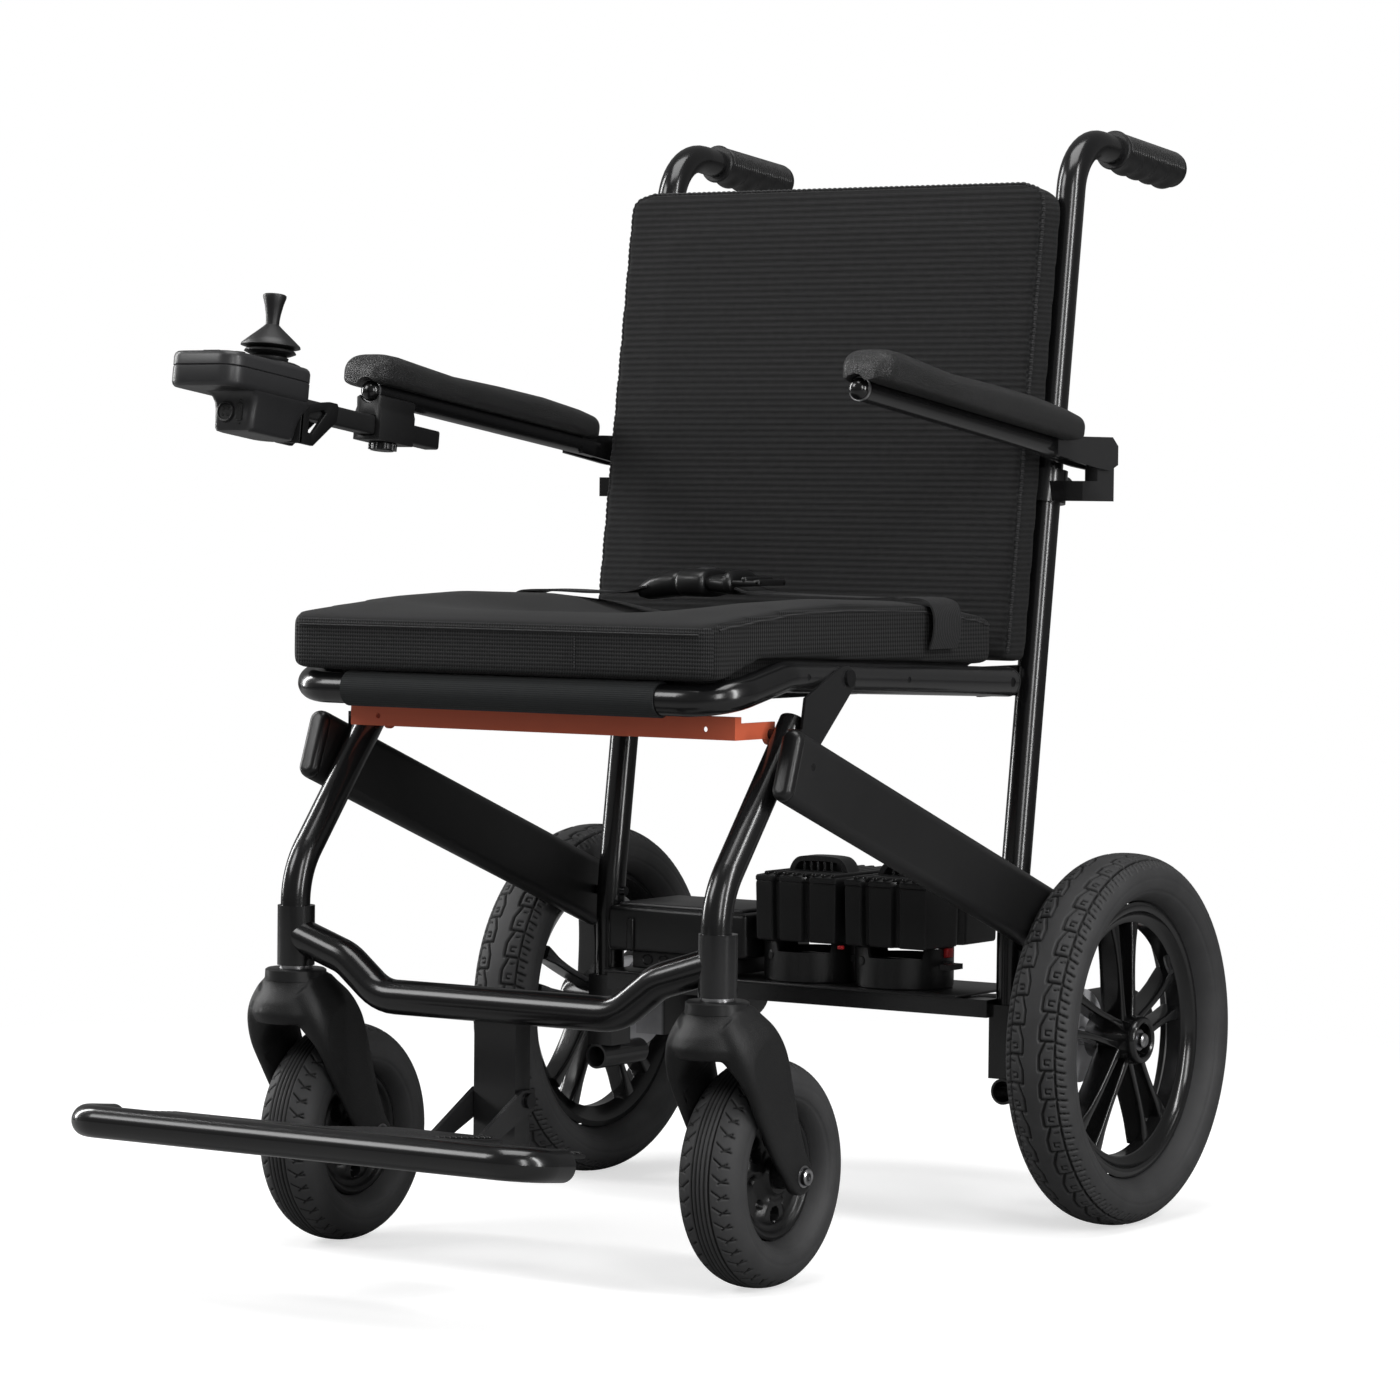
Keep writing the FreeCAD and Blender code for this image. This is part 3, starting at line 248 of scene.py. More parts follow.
def pad_leather():
    """Small cells with creases between them, their layout stirred by noise."""
    shader = Shader("pad_leather")
    cells = shader.node("ShaderNodeTexVoronoi", Scale=620.0, feature="DISTANCE_TO_EDGE")
    stirred = shader.node("ShaderNodeVectorMath", operation="MULTIPLY_ADD")
    stir = (0.002, 0.002, 0.002)
    for socket, value in zip(stirred.inputs,
                             (shader.noise(260.0, 3.0, output="Color"), stir, shader.coords)):
        shader.feed(socket, value)
    shader.feed(cells.inputs["Vector"], stirred.outputs[0])
    height = shader.remap(cells.outputs["Distance"], 0.0, 0.18)
    mottle = shader.remap(shader.noise(14.0, detail=3.0), 0.3, 0.7)
    shader.set(Base_Color=shader.mix(mottle, (0.0090, 0.0090, 0.0093), (0.0150, 0.0150, 0.0153)),
               Roughness=shader.remap(height, 0.0, 1.0, 0.55, 0.38))
    shader.bump(height, strength=0.85, distance=0.0006)
    return shader.material


KNIT_PITCH = 0.0011     # metres between the fine stitches of ribbed fabric


def ribbed_fabric(name, rib_axis, pitch, dark, light, rib_bump=0.6):
    """Ribs repeat along one object axis and a fine knit runs across them."""
    shader = Shader(name)
    axes = dict(zip("xyz", shader.separate(shader.coords)))
    along = axes.pop(rib_axis)
    rib = shader.wave(along, pitch)
    stitches = shader.math("ADD", *(shader.wave(axis, KNIT_PITCH) for axis in axes.values()))
    knit = shader.math("MULTIPLY", stitches, shader.wave(along, KNIT_PITCH))
    shade = shader.math(
        "ADD", shader.math("MULTIPLY", shader.remap(rib, -0.6, 0.9), 0.62),
        shader.math("MULTIPLY", shader.remap(knit, -1.2, 1.2), 0.30))
    mottle = shader.remap(shader.noise(180.0, detail=3.0), 0.3, 0.7, -0.08, 0.16)
    shade = shader.math("ADD", shade, mottle)
    shader.set(Base_Color=shader.mix(shade, dark, light), Roughness=0.85,
               Specular_IOR_Level=0.25, Sheen_Weight=0.04, Sheen_Roughness=0.5)
    height = shader.math("ADD", shader.math("MULTIPLY", rib, 0.6),
                         shader.math("MULTIPLY", knit, 0.35))
    shader.bump(height, rib_bump, distance=0.0007)
    return shader.material


def diamond_mesh(name, dark, light, pitch=0.0048):
    """Coarse mesh where two sets of slanting waves cross."""
    shader = Shader(name)
    x, y, z = shader.separate(shader.coords)
    level = shader.math("ADD", x, y)
    waves = [shader.wave(shader.math(operation, level, shader.math("MULTIPLY", z, 0.8)), pitch)
             for operation in ("ADD", "SUBTRACT")]
    height = shader.remap(shader.math("MULTIPLY", *waves), -0.5, 0.6)
    shader.set(Base_Color=shader.mix(height, dark, light), Roughness=0.8,
               Specular_IOR_Level=0.25, Sheen_Weight=0.04)
    shader.bump(height, strength=0.8, distance=0.0009)
    return shader.material


def gear_housing():
    """Black near the middle of the chair, pale metal beyond 190 mm on either side."""
    shader = Shader("gear_housing")
    geometry = shader.node("ShaderNodeNewGeometry")
    x = shader.separate(geometry.outputs["Position"])[0]
    outer = shader.remap(shader.math("ABSOLUTE", x), 0.186, 0.190)
    mottle = shader.remap(shader.noise(40.0), 0.3, 0.7)
    black = shader.mix(mottle, (0.006, 0.006, 0.006), (0.009, 0.009, 0.009))
    metal = shader.mix(mottle, (0.58, 0.58, 0.60), (0.72, 0.72, 0.74))
    shader.set(Base_Color=shader.mix(outer, black, metal),
               Metallic=shader.math("MULTIPLY", outer, 0.35), Roughness=0.40)
    shader.bump(shader.noise(600.0, detail=2.0), strength=0.25, distance=0.0003)
    return shader.material


look = {key: paint(*values, **extra) for key, (*values, extra) in PAINTS.items()}
look["tyre"] = tyre_rubber()
look["leather"] = pad_leather()
look["back mesh"] = ribbed_fabric(
    "backrest_ribbed_mesh", "z", 0.0053, (0.0030, 0.0030, 0.0032), (0.0175, 0.0175, 0.0180))
look["seat side"] = diamond_mesh(
    "seat_side_mesh", (0.0035, 0.0035, 0.0036), (0.021, 0.021, 0.0215), pitch=0.0056)
look["side band"] = ribbed_fabric(
    "side_band_mesh", "z", 0.0046, (0.0030, 0.0030, 0.0032), (0.0170, 0.0170, 0.0176),
    rib_bump=0.9)
look["seat top"] = ribbed_fabric(
    "seat_top_fabric", "x", 0.0022, (0.0060, 0.0060, 0.0063), (0.0110, 0.0110, 0.0114),
    rib_bump=0.2)
look["seat front"] = diamond_mesh(
    "seat_front_mesh", (0.0050, 0.0050, 0.0052), (0.034, 0.034, 0.035))
look["sling"] = ribbed_fabric(
    "grey_sling_fabric", "z", 0.0016, (0.016, 0.0175, 0.018), (0.026, 0.028, 0.029),
    rib_bump=0.35)
look["webbing"] = ribbed_fabric(
    "webbing", "y", 0.0028, (0.010, 0.010, 0.0105), (0.026, 0.026, 0.027))
look["thread"] = ribbed_fabric(
    "thread", "z", 0.002, (0.010, 0.010, 0.0103), (0.045, 0.045, 0.046))
look["housing"] = gear_housing()


# ------------------------------------------------------------------ mesh helpers
def finish_mesh(mesh, angle=35):
    """Shade smooth, with edges sharper than the angle (degrees) kept crisp."""
    for face in mesh.polygons:
        face.use_smooth = True
    mesh.set_sharp_from_angle(angle=math.radians(angle))


def face_outward(mesh, weld=False):
    bm = bmesh.new()
    bm.from_mesh(mesh)
    if weld:
        bmesh.ops.remove_doubles(bm, verts=bm.verts, dist=1e-6)
    bmesh.ops.recalc_face_normals(bm, faces=bm.faces)
    bm.to_mesh(mesh)
    bm.free()


def link_mesh(name, mesh, material=None):
    obj = bpy.data.objects.new(name, mesh)
    bpy.context.scene.collection.objects.link(obj)
    if material:
        mesh.materials.append(material)
    return obj


def mesh_from_bmesh(name, bm):
    mesh = bpy.data.meshes.new(name)
    bm.to_mesh(mesh)
    bm.free()
    return mesh


def make_object(name, vertices, faces, material, angle=35):
    mesh = bpy.data.meshes.new(name)
    mesh.from_pydata([tuple(vertex) for vertex in vertices], [], faces)
    mesh.validate()
    face_outward(mesh)
    finish_mesh(mesh, angle)
    return link_mesh(name, mesh, material)


def ring_quads(rings, count, loop_rings=True, loop_points=True):
    """Quads between neighbouring rings of count points each."""
    faces = []
    for i in range(rings if loop_rings else rings - 1):
        this, following = i * count, (i + 1) % rings * count
        for k in range(count if loop_points else count - 1):
            after = (k + 1) % count
            faces.append((this + k, this + after, following + after, following + k))
    return faces


def cross_axes(direction):
    """Two unit vectors square to a direction."""
    direction = direction.normalized()
    reference = Vector((0, 0, 1))
    if abs(direction.dot(reference)) > 0.98:
        reference = Vector((1, 0, 0))
    first = reference.cross(direction).normalized()
    return first, direction.cross(first).normalized()


def lathe(name, profile, centre, axis, material, segments=96, angle=35, closed=False):
    """Turn a profile of (distance along the axis, radius) in mm about an axis."""
    axis = Vector(axis).normalized()
    first, second = cross_axes(axis)
    vertices = []
    for i in range(segments):
        turn = 2 * math.pi * i / segments
        outward = first * math.cos(turn) + second * math.sin(turn)
        for along, radius in profile:
            vertices.append(centre + axis * (along / 1000.0) + outward * (radius / 1000.0))
    faces = ring_quads(segments, len(profile), loop_points=closed)
    obj = make_object(name, vertices, faces, material, angle)
    face_outward(obj.data, weld=True)
    finish_mesh(obj.data, angle)
    return obj


def smooth_path(points, steps=8):
    """Catmull-Rom curve through the points."""
    knots = [Vector(p) for p in points]
    knots = [knots[0] * 2 - knots[1]] + knots + [knots[-1] * 2 - knots[-2]]
    path = []
    for i in range(1, len(knots) - 2):
        a, b, c, d = knots[i - 1:i + 3]
        for k in range(steps):
            t = k / steps
            path.append(0.5 * ((2 * b) + (c - a) * t + (2 * a - 5 * b + 4 * c - d) * t * t
                               + (3 * b - a - 3 * c + d) * t ** 3))
    path.append(knots[-2])
    return path


def heading(path, i):
    """Unit direction of a path at its point i."""
    return (path[min(i + 1, len(path) - 1)] - path[max(i - 1, 0)]).normalized()


def loft(name, rings, material, angle=40):
    """Skin equal rings of points and cap both ends."""
    count = len(rings[0])
    faces = ring_quads(len(rings), count, loop_rings=False)
    faces.append(tuple(range(count - 1, -1, -1)))
    faces.append(tuple((len(rings) - 1) * count + k for k in range(count)))
    return make_object(name, [p for ring in rings for p in ring], faces, material, angle)


def sweep_round(name, path, radii, material, segments, angle=40):
    """A round bar along a path, with its radius (m) at each point."""
    rings = []
    first = None
    for i, (middle, radius) in enumerate(zip(path, radii)):
        direction = heading(path, i)
        if first is None:
            first, second = cross_axes(direction)
        else:
            first = (first - direction * first.dot(direction)).normalized()
            second = direction.cross(first)
        turns = [2 * math.pi * k / segments for k in range(segments)]
        rings.append([middle + (first * math.cos(turn) + second * math.sin(turn)) * radius
                      for turn in turns])
    return loft(name, rings, material, angle)


def ribbon(name, points, width, thickness, material, steps=8):
    """A flat strap along a path, its width along Y; width and thickness in metres."""
    rows = 6
    section = [(-width / 2 + width * k / rows, thickness / 2) for k in range(rows + 1)]
    section += [(width / 2 - width * k / rows, -thickness / 2) for k in range(rows + 1)]
    path = smooth_path(points, steps)
    y_axis = Vector((0, 1, 0))
    rings = []
    for i, middle in enumerate(path):
        direction = heading(path, i)
        across = (y_axis - direction * y_axis.dot(direction)).normalized()
        normal = direction.cross(across).normalized()
        rings.append([middle + across * a + normal * b for a, b in section])
    return loft(name, rings, material, 50)


def rounded_box(low, high, material, radius, segments=2, place=lambda corner: point(*corner)):
    """A box between two corners with rounded edges, all in mm."""
    low, high = Vector(low), Vector(high)
    bm = bmesh.new()
    bmesh.ops.create_cube(bm, size=1.0)
    for vertex in bm.verts:
        vertex.co = Vector((low[i] + (vertex.co[i] + 0.5) * (high[i] - low[i])
                            for i in range(3)))
    bmesh.ops.bevel(bm, geom=list(bm.edges), offset=radius, segments=segments, profile=0.5,
                    affect="EDGES", clamp_overlap=True)
    mesh = mesh_from_bmesh("box", bm)
    for vertex in mesh.vertices:
        vertex.co = place(Vector(vertex.co))
    finish_mesh(mesh, 50)
    return link_mesh("box", mesh, material)


def plate(outline, holes, start, end, place, material, bevel=0.6):
    """A flat plate: outline and holes in (a, b), from start to end, set by place(a, b, depth)."""
    bm = bmesh.new()
    for loop in [outline] + holes:
        corners = [bm.verts.new((a, b, start)) for a, b in loop]
        for i, corner in enumerate(corners):
            bm.edges.new((corner, corners[(i + 1) % len(corners)]))
    bmesh.ops.triangle_fill(bm, use_beauty=True, use_dissolve=True, edges=list(bm.edges))
    extruded = bmesh.ops.extrude_face_region(bm, geom=list(bm.faces))["geom"]
    for item in extruded:
        if isinstance(item, bmesh.types.BMVert):
            item.co.z = end
    bmesh.ops.recalc_face_normals(bm, faces=bm.faces)
    edges = [edge for edge in bm.edges
             if len(edge.link_faces) == 2 and edge.calc_face_angle(0) > 0.9]
    bmesh.ops.bevel(bm, geom=edges, offset=bevel, segments=2, profile=0.5,
                    affect="EDGES", clamp_overlap=True)
    for vertex in bm.verts:
        vertex.co = place(*vertex.co)
    bmesh.ops.recalc_face_normals(bm, faces=bm.faces)
    mesh = mesh_from_bmesh("plate", bm)
    finish_mesh(mesh, 40)
    return link_mesh("plate", mesh, material)


def corner_arc(x, y, radius, start, steps=9):
    """Points of a quarter circle from a start angle in degrees."""
    turns = [math.radians(start + 90 * k / (steps - 1)) for k in range(steps)]
    return [(x + radius * math.cos(turn), y + radius * math.sin(turn)) for turn in turns]


def rounded_rect(x0, x1, y0, y1, low_radius, high_radius, inset=0, steps=9):
    """A rounded rectangle, pulled in by inset, with its own corner radii at y0 and at y1."""
    x0, x1, y0, y1 = x0 + inset, x1 - inset, y0 + inset, y1 - inset
    low, high = max(low_radius - inset, 0.5), max(high_radius - inset, 0.5)
    return (corner_arc(x0 + low, y0 + low, low, 180, steps)
            + corner_arc(x1 - low, y0 + low, low, 270, steps)
            + corner_arc(x1 - high, y1 - high, high, 0, steps)
            + corner_arc(x0 + high, y1 - high, high, 90, steps))


def signed_power(value, exponent):
    """Power that keeps the sign; squares off a circle when the exponent is under 1."""
    return math.copysign(abs(value) ** exponent, value)


def join(name, parts):
    """Several objects as one new object."""
    bm = bmesh.new()
    materials = []
    for part in parts:
        slots = {}
        for i, material in enumerate(part.data.materials):
            if material not in materials:
                materials.append(material)
            slots[i] = materials.index(material)
        mesh = part.data.copy()
        for face in mesh.polygons:
            face.material_index = slots.get(face.material_index, 0)
        bm.from_mesh(mesh)
        bpy.data.meshes.remove(mesh)
    mesh = mesh_from_bmesh(name, bm)
    for material in materials:
        mesh.materials.append(material)
    for part in parts:
        bpy.data.objects.remove(part)
    return link_mesh(name, mesh)


def modify(obj, kind, **settings):
    modifier = obj.modifiers.new(kind.lower(), kind)
    for key, value in settings.items():
        setattr(modifier, key, value)
    return modifier


def apply_modifiers(obj):
    bpy.context.view_layer.update()
    depsgraph = bpy.context.evaluated_depsgraph_get()
    mesh = bpy.data.meshes.new_from_object(obj.evaluated_get(depsgraph))
    old = obj.data
    materials = list(old.materials)
    obj.modifiers.clear()
    obj.data = mesh
    if not mesh.materials:
        for material in materials:
            mesh.materials.append(material)
    bpy.data.meshes.remove(old)


def get_coords(obj):
    return np.array([vertex.co for vertex in obj.data.vertices])


def set_coords(obj, coords):
    obj.data.vertices.foreach_set("co", coords.ravel())


def set_materials(obj, *keys):
    obj.data.materials.clear()
    for key in keys:
        obj.data.materials.append(look[key])


def attach(obj, body, replaced=None):
    """Make the object ride a body, and stand in for a CAD node if one is named."""
    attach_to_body(obj, body)
    if replaced:
        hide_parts(replaced)


# ------------------------------------------------------------------ materials on CAD nodes
CAD_LOOKS = {
    "gloss": "rear_frame seat_frame front_frame footplate_frame armrest_frame_left "
             "armrest_frame_right",
    "satin": "side_links joystick_clamp joystick_bar drive_motors",
    "red": "release_bar",
    "housing": "gearboxes",
    "red plastic": "brake_lever_left brake_lever_right",
    "dark steel": "pivot_bolts seat_fasteners footplate_pin caster_bolts_left "
                  "caster_bolts_right stem_bearings",
    "steel": "drive_shaft_left drive_shaft_right gimbal_ring",
    "plastic": "battery_latch battery_dock controller_box rail_end_caps clamp_knob_left "
               "clamp_knob_right power_button horn_button speed_rocker buckle_button "
               "footplate_panel",
    "rubber": "motor_cables",
    "side band": "backrest_shell",
    "sling": "seat_sling",
    "charcoal": "controller_shells",
}
for key, names in CAD_LOOKS.items():
    for name in names.split():
        set_materials(cad_nodes[name], key)
        for face in cad_nodes[name].data.polygons:
            face.material_index = 0
        finish_mesh(cad_nodes[name].data, 30)


# ------------------------------------------------------------------ tyres
def groove_mask(distance, width, soft=0.8):
    """1 inside a groove and 0 outside, with soft edges; all in mm."""
    return np.clip((width / 2 - np.abs(distance)) / soft + 0.5, 0, 1)


def tread_repeat(across, around, wheel, repeats):
    """Pitch of the pattern in mm and the place in it (0..1), staggered between halves."""
    pitch = 2 * math.pi * wheel.radius / repeats
    phase = around / pitch + np.where(across > 0, 0.0, 0.5)
    return pitch, phase - np.floor(phase)


def drive_tread(across, around):
    """Groove pattern of a drive tyre: 0 on the blocks, up to 1 in the grooves."""
    pitch, phase = tread_repeat(across, around, DRIVE, repeats=40)
    off = np.abs(across)
    zigzag = np.where(phase < 0.5, 7.6, 12.8 - (phase - 0.5) / 0.5 * 5.2)
    cuts = [
        groove_mask(off - zigzag, 2.3, 0.9),
        groove_mask((phase - 0.5) * pitch, 2.0, 0.9) * (off > 7.0) * (off < 21.5),
        groove_mask(off - 21.5, 1.7),
        # fine cuts inside the blocks
        0.8 * groove_mask(off - 12.6, 1.2) * (phase > 0.14) * (phase < 0.30),
        0.8 * groove_mask((phase - 0.74) * pitch + 0.2 * (off - 17), 1.1)
        * (off > 14.5) * (off < 19.5)]
    for start, outer in ((0.14, 18.0), (0.30, 17.0)):
        cut = 0.8 * groove_mask((phase - start) * pitch, 1.2)
        cuts.append(cut * (off > 12.3) * (off < outer))
    # shoulder cuts: place in the pattern, inner end, outer end, width
    for start, inner, outer, width in ((0.02, 21.0, 31.0, 1.7), (0.27, 23.5, 28.5, 1.1),
                                       (0.52, 21.0, 31.0, 1.7), (0.77, 23.5, 28.5, 1.1)):
        distance = (np.mod(phase - start + 0.5, 1) - 0.5) * pitch - 0.25 * (off - 21)
        cuts.append(groove_mask(distance, width, 0.9) * (off > inner) * (off < outer))
    return np.maximum.reduce(cuts)


def caster_tread(across, around):
    """Groove pattern of a caster tyre: five lines round the middle and slanting side cuts."""
    pitch, phase = tread_repeat(across, around, CASTER, repeats=44)
    off = np.abs(across)
    cuts = [groove_mask(across - line, 1.5, 0.7) for line in (-7.6, -3.8, 0.0, 3.8, 7.6)]
    # place in the pattern, slant, middle of the slant, width, inner end, outer end
    for start, slant, middle, width, inner, outer in (
            (0.0, -0.75, 13.5, 1.5, 10.2, 17.5), (0.26, 0.55, 17.5, 1.4, 14.5, 22.5),
            (0.26, -0.10, 17.5, 1.3, 17.5, 24.0)):
        distance = (np.mod(phase - start, 1) - 0.5) * pitch + slant * (off - middle)
        cuts.append(groove_mask(distance, width, 0.7) * (off > inner) * (off < outer))
    return np.maximum.reduce(cuts)


def tyre_section(wheel):
    """Outline from bead to bead: across, radius, normals, arc length from the crown."""
    even = np.linspace(-1, 1, wheel.section_points)
    angle = 2.62 * (0.62 * even + 0.38 * even ** 3)
    cosine, sine = np.cos(angle), np.sin(angle)
    widest = wheel.widest_radius
    across = wheel.half_width * np.sign(sine) * np.abs(sine) ** 0.86
    radius = np.where(cosine > 0, widest + (wheel.radius - widest) * np.abs(cosine) ** 0.9,
                      widest - (widest - wheel.bead_radius) * np.abs(cosine))
    bead = np.sign(angle) * np.maximum(wheel.bead_x, np.abs(across))
    across = np.where(np.abs(angle) > 1.9, bead, across)
    step_x, step_r = np.gradient(across), np.gradient(radius)
    length = np.hypot(step_x, step_r)
    normal_x, normal_r = -step_r / length, step_x / length
    crown = wheel.section_points // 2
    if normal_r[crown] < 0:
        normal_x, normal_r = -normal_x, -normal_r
    arc = np.cumsum(np.hypot(np.diff(across, prepend=across[0]),
                             np.diff(radius, prepend=radius[0])))
    return across, radius, normal_x, normal_r, arc - arc[crown]


def wheel_points(wheel, side, across, radius, turn):
    """Metres from offsets along X and radii in mm, turned about the wheel's axle."""
    across, radius, turn = np.broadcast_arrays(across, radius, turn)
    return np.stack([side * wheel.x / 1000.0 + across / 1000.0,
                     AXLE_Y + wheel.y / 1000.0 + radius / 1000.0 * np.cos(turn),
                     wheel.radius / 1000.0 + radius / 1000.0 * np.sin(turn)], -1)


def tyre(wheel, tread, side, side_name):
    section_x, section_r, normal_x, normal_r, arc = tyre_section(wheel)
    count = wheel.segments
    turns = np.arange(count) / count * 2 * math.pi
    from_crown, turn_grid = np.meshgrid(arc, turns)
    groove = tread(from_crown, turn_grid * wheel.radius)
    wall = np.abs(from_crown)
    # the tread grooves and two shallow rings in each side wall
    depth = (groove * wheel.groove_depth
             + 0.5 * np.exp(-((wall - arc[-1] * 0.80) / 0.8) ** 2)
             + 0.4 * np.exp(-((wall - arc[-1] * 0.62) / 0.8) ** 2))
    across = section_x[None, :] - normal_x[None, :] * depth
    radius = section_r[None, :] - normal_r[None, :] * depth
    # three inner rings close the body between the beads
    inner = np.linspace(section_x[-1], section_x[0], 5)[1:-1]
    across = np.hstack([across, np.tile(inner, (count, 1))])
    radius = np.hstack([radius, np.full((count, 3), wheel.bead_radius - 0.4)])
    groove = np.hstack([groove, np.zeros((count, 3))])
    vertices = wheel_points(wheel, side, side * across, radius, turns[:, None])
    faces = ring_quads(*across.shape)
    if side < 0:
        faces = [face[::-1] for face in faces]

    name = f"tyre_{wheel.kind}_{side_name}"
    mesh = bpy.data.meshes.new(name)
    mesh.from_pydata(vertices.reshape(-1, 3).tolist(), [], faces)
    obj = link_mesh(name, mesh)
    face_outward(mesh)
    # the groove attribute drives the painted shade that darkens the rubber in the grooves
    attribute = mesh.attributes.new("groove", "FLOAT", "POINT")
    attribute.data.foreach_set("value", groove.astype(np.float32).ravel())
    finish_mesh(mesh, 70)
    mesh.materials.append(look["tyre"])
    attach(obj, f"{wheel.kind}_wheel_{side_name}", f"{wheel.kind}_tyre_{side_name}")


for side, side_name in SIDES:
    tyre(DRIVE, drive_tread, side, side_name)
    tyre(CASTER, caster_tread, side, side_name)

# ------------------------------------------------------------------ drive rims
# profiles are (distance outward along the axle, radius)
RIM_PROFILE = [(13.4, 117.0), (14.6, 113.0), (13.2, 109.5), (9.0, 107.5), (6.0, 103.0),
               (6.0, 99.5), (-6, 99.0), (-9, 103.0), (-12.5, 108.5), (-14.6, 112.0),
               (-13.4, 117.0), (-12.2, 116.6), (-8, 110), (8, 110), (12.2, 116.6)]
HUB_PROFILE = [(-25.5, 8.2), (-25.5, 17), (-12, 19.5), (10, 20.5), (17, 20.5), (22, 19.8),
               (23.6, 18.4), (23.6, 15.6), (22.4, 14.4), (12, 13.6), (11.5, 8.2)]
AXLE_PROFILE = [(-64, 0.01), (-64, 7.9), (11.5, 7.9), (11.5, 9.6), (18.5, 9.6), (19.3, 8.8),
                (19.3, 6.4), (23.5, 6.2), (24.8, 5.0), (24.8, 0.01)]
SPOKE_PAIRS = 5
SPOKE_START, SPOKE_END = 16, 102        # radii
SPOKE_STEPS = 16


def spoke(centre, side, pair_angle, twin):
    """One arm of a forked spoke: it leaves the hub beside its twin and opens quickly."""
    path = []
    for t in np.linspace(0, 1, SPOKE_STEPS + 1):
        radius = SPOKE_START + (SPOKE_END - SPOKE_START) * t ** 1.15
        spread = math.radians(twin * (7.0 + 19.0 * (1 - (1 - t) ** 3.6)))
        path.append((radius, pair_angle + spread, -1.5 - 3.0 * t))
    x_axis = Vector((1, 0, 0))
    rings = []
    for j, (radius, angle, offset) in enumerate(path):
        t = j / SPOKE_STEPS
        half_width = (4.3 - 1.3 * math.sin(math.pi * min(1, t * 1.1))
                      + 2.4 * max(0, t - 0.8) / 0.2)
        half_depth = 11.5 - 2.5 * t
        middle = Vector((0, math.cos(angle) * radius, math.sin(angle) * radius))
        before, after = path[max(j - 1, 0)], path[min(j + 1, SPOKE_STEPS)]
        tangent = Vector((0, math.cos(after[1]) * after[0] - math.cos(before[1]) * before[0],
                          math.sin(after[1]) * after[0] - math.sin(before[1]) * before[0]))
        tangent.normalize()
        sideways = x_axis.cross(tangent)
        ring = []
        for k in range(20):
            turn = 2 * math.pi * (k + 0.5) / 20
            depth = signed_power(math.cos(turn), 0.34) * half_depth
            width = signed_power(math.sin(turn), 0.34) * half_width
            place = middle + x_axis * (offset + depth) + sideways * width
            ring.append(centre + Vector((side * place.x, place.y, place.z)) / 1000.0)
        rings.append(ring)
    return loft("spoke", rings, look["wheel"], 50)


def drive_rim(side, side_name):
    centre = wheel_centre(DRIVE, side)
    outward = (side, 0, 0)
    body = "drive_wheel_" + side_name
    parts = [lathe("rim", RIM_PROFILE, centre, outward, look["wheel"], 144, 40, closed=True),
             lathe("hub", HUB_PROFILE, centre, outward, look["wheel"], 72, 40, closed=True)]
    for i in range(SPOKE_PAIRS):
        pair_angle = math.radians(270 + 360 // SPOKE_PAIRS * i)
        parts += [spoke(centre, side, pair_angle, twin) for twin in (-1, 1)]
    attach(join("rim_drive_" + side_name, parts), body,
           "drive_rim_" + side_name)
    # axle end and nut, recessed in the hub
    axle = lathe("axle_" + side_name, AXLE_PROFILE, centre, outward, look["steel"], 48, 25)
    attach(axle, body, "drive_shaft_" + side_name)
    valve_angle = math.radians(40)
    stem = smooth_path([point(side * (DRIVE.x + offset), math.cos(valve_angle) * radius,
                              DRIVE.radius + math.sin(valve_angle) * radius)
                        for offset, radius in ((4, 99), (9, 90), (15, 82))])
    radii = [0.0032 - 0.0008 * (i / (len(stem) - 1)) for i in range(len(stem))]
    attach(sweep_round("valve_" + side_name, stem, radii, look["rubber"], 12), body)


for side, side_name in SIDES:
    drive_rim(side, side_name)

# ------------------------------------------------------------------ caster rims
# radius, half thickness of the plain dished disc
CASTER_DISH = np.array([
    (11.5, 17), (15, 17), (18, 13), (26, 8.5), (40, 8.0), (44.5, 10.5), (46.5, 14.2),
    (49, 14.9), (51.4, 13.5)]).T
# angle from the lobe (radians), radius to the middle, hole radius, depth
CASTER_HOLES = ((0.0, 31.5, 6.2, 9.5), (0.62, 28.0, 3.4, 4.0), (-0.62, 28.0, 3.4, 4.0))
LOBE_ANGLE = 0.5
CASTER_HUB = [(-26, 4.4), (-26, 10), (-20, 11.4), (20, 11.4), (26, 10), (26, 4.4)]


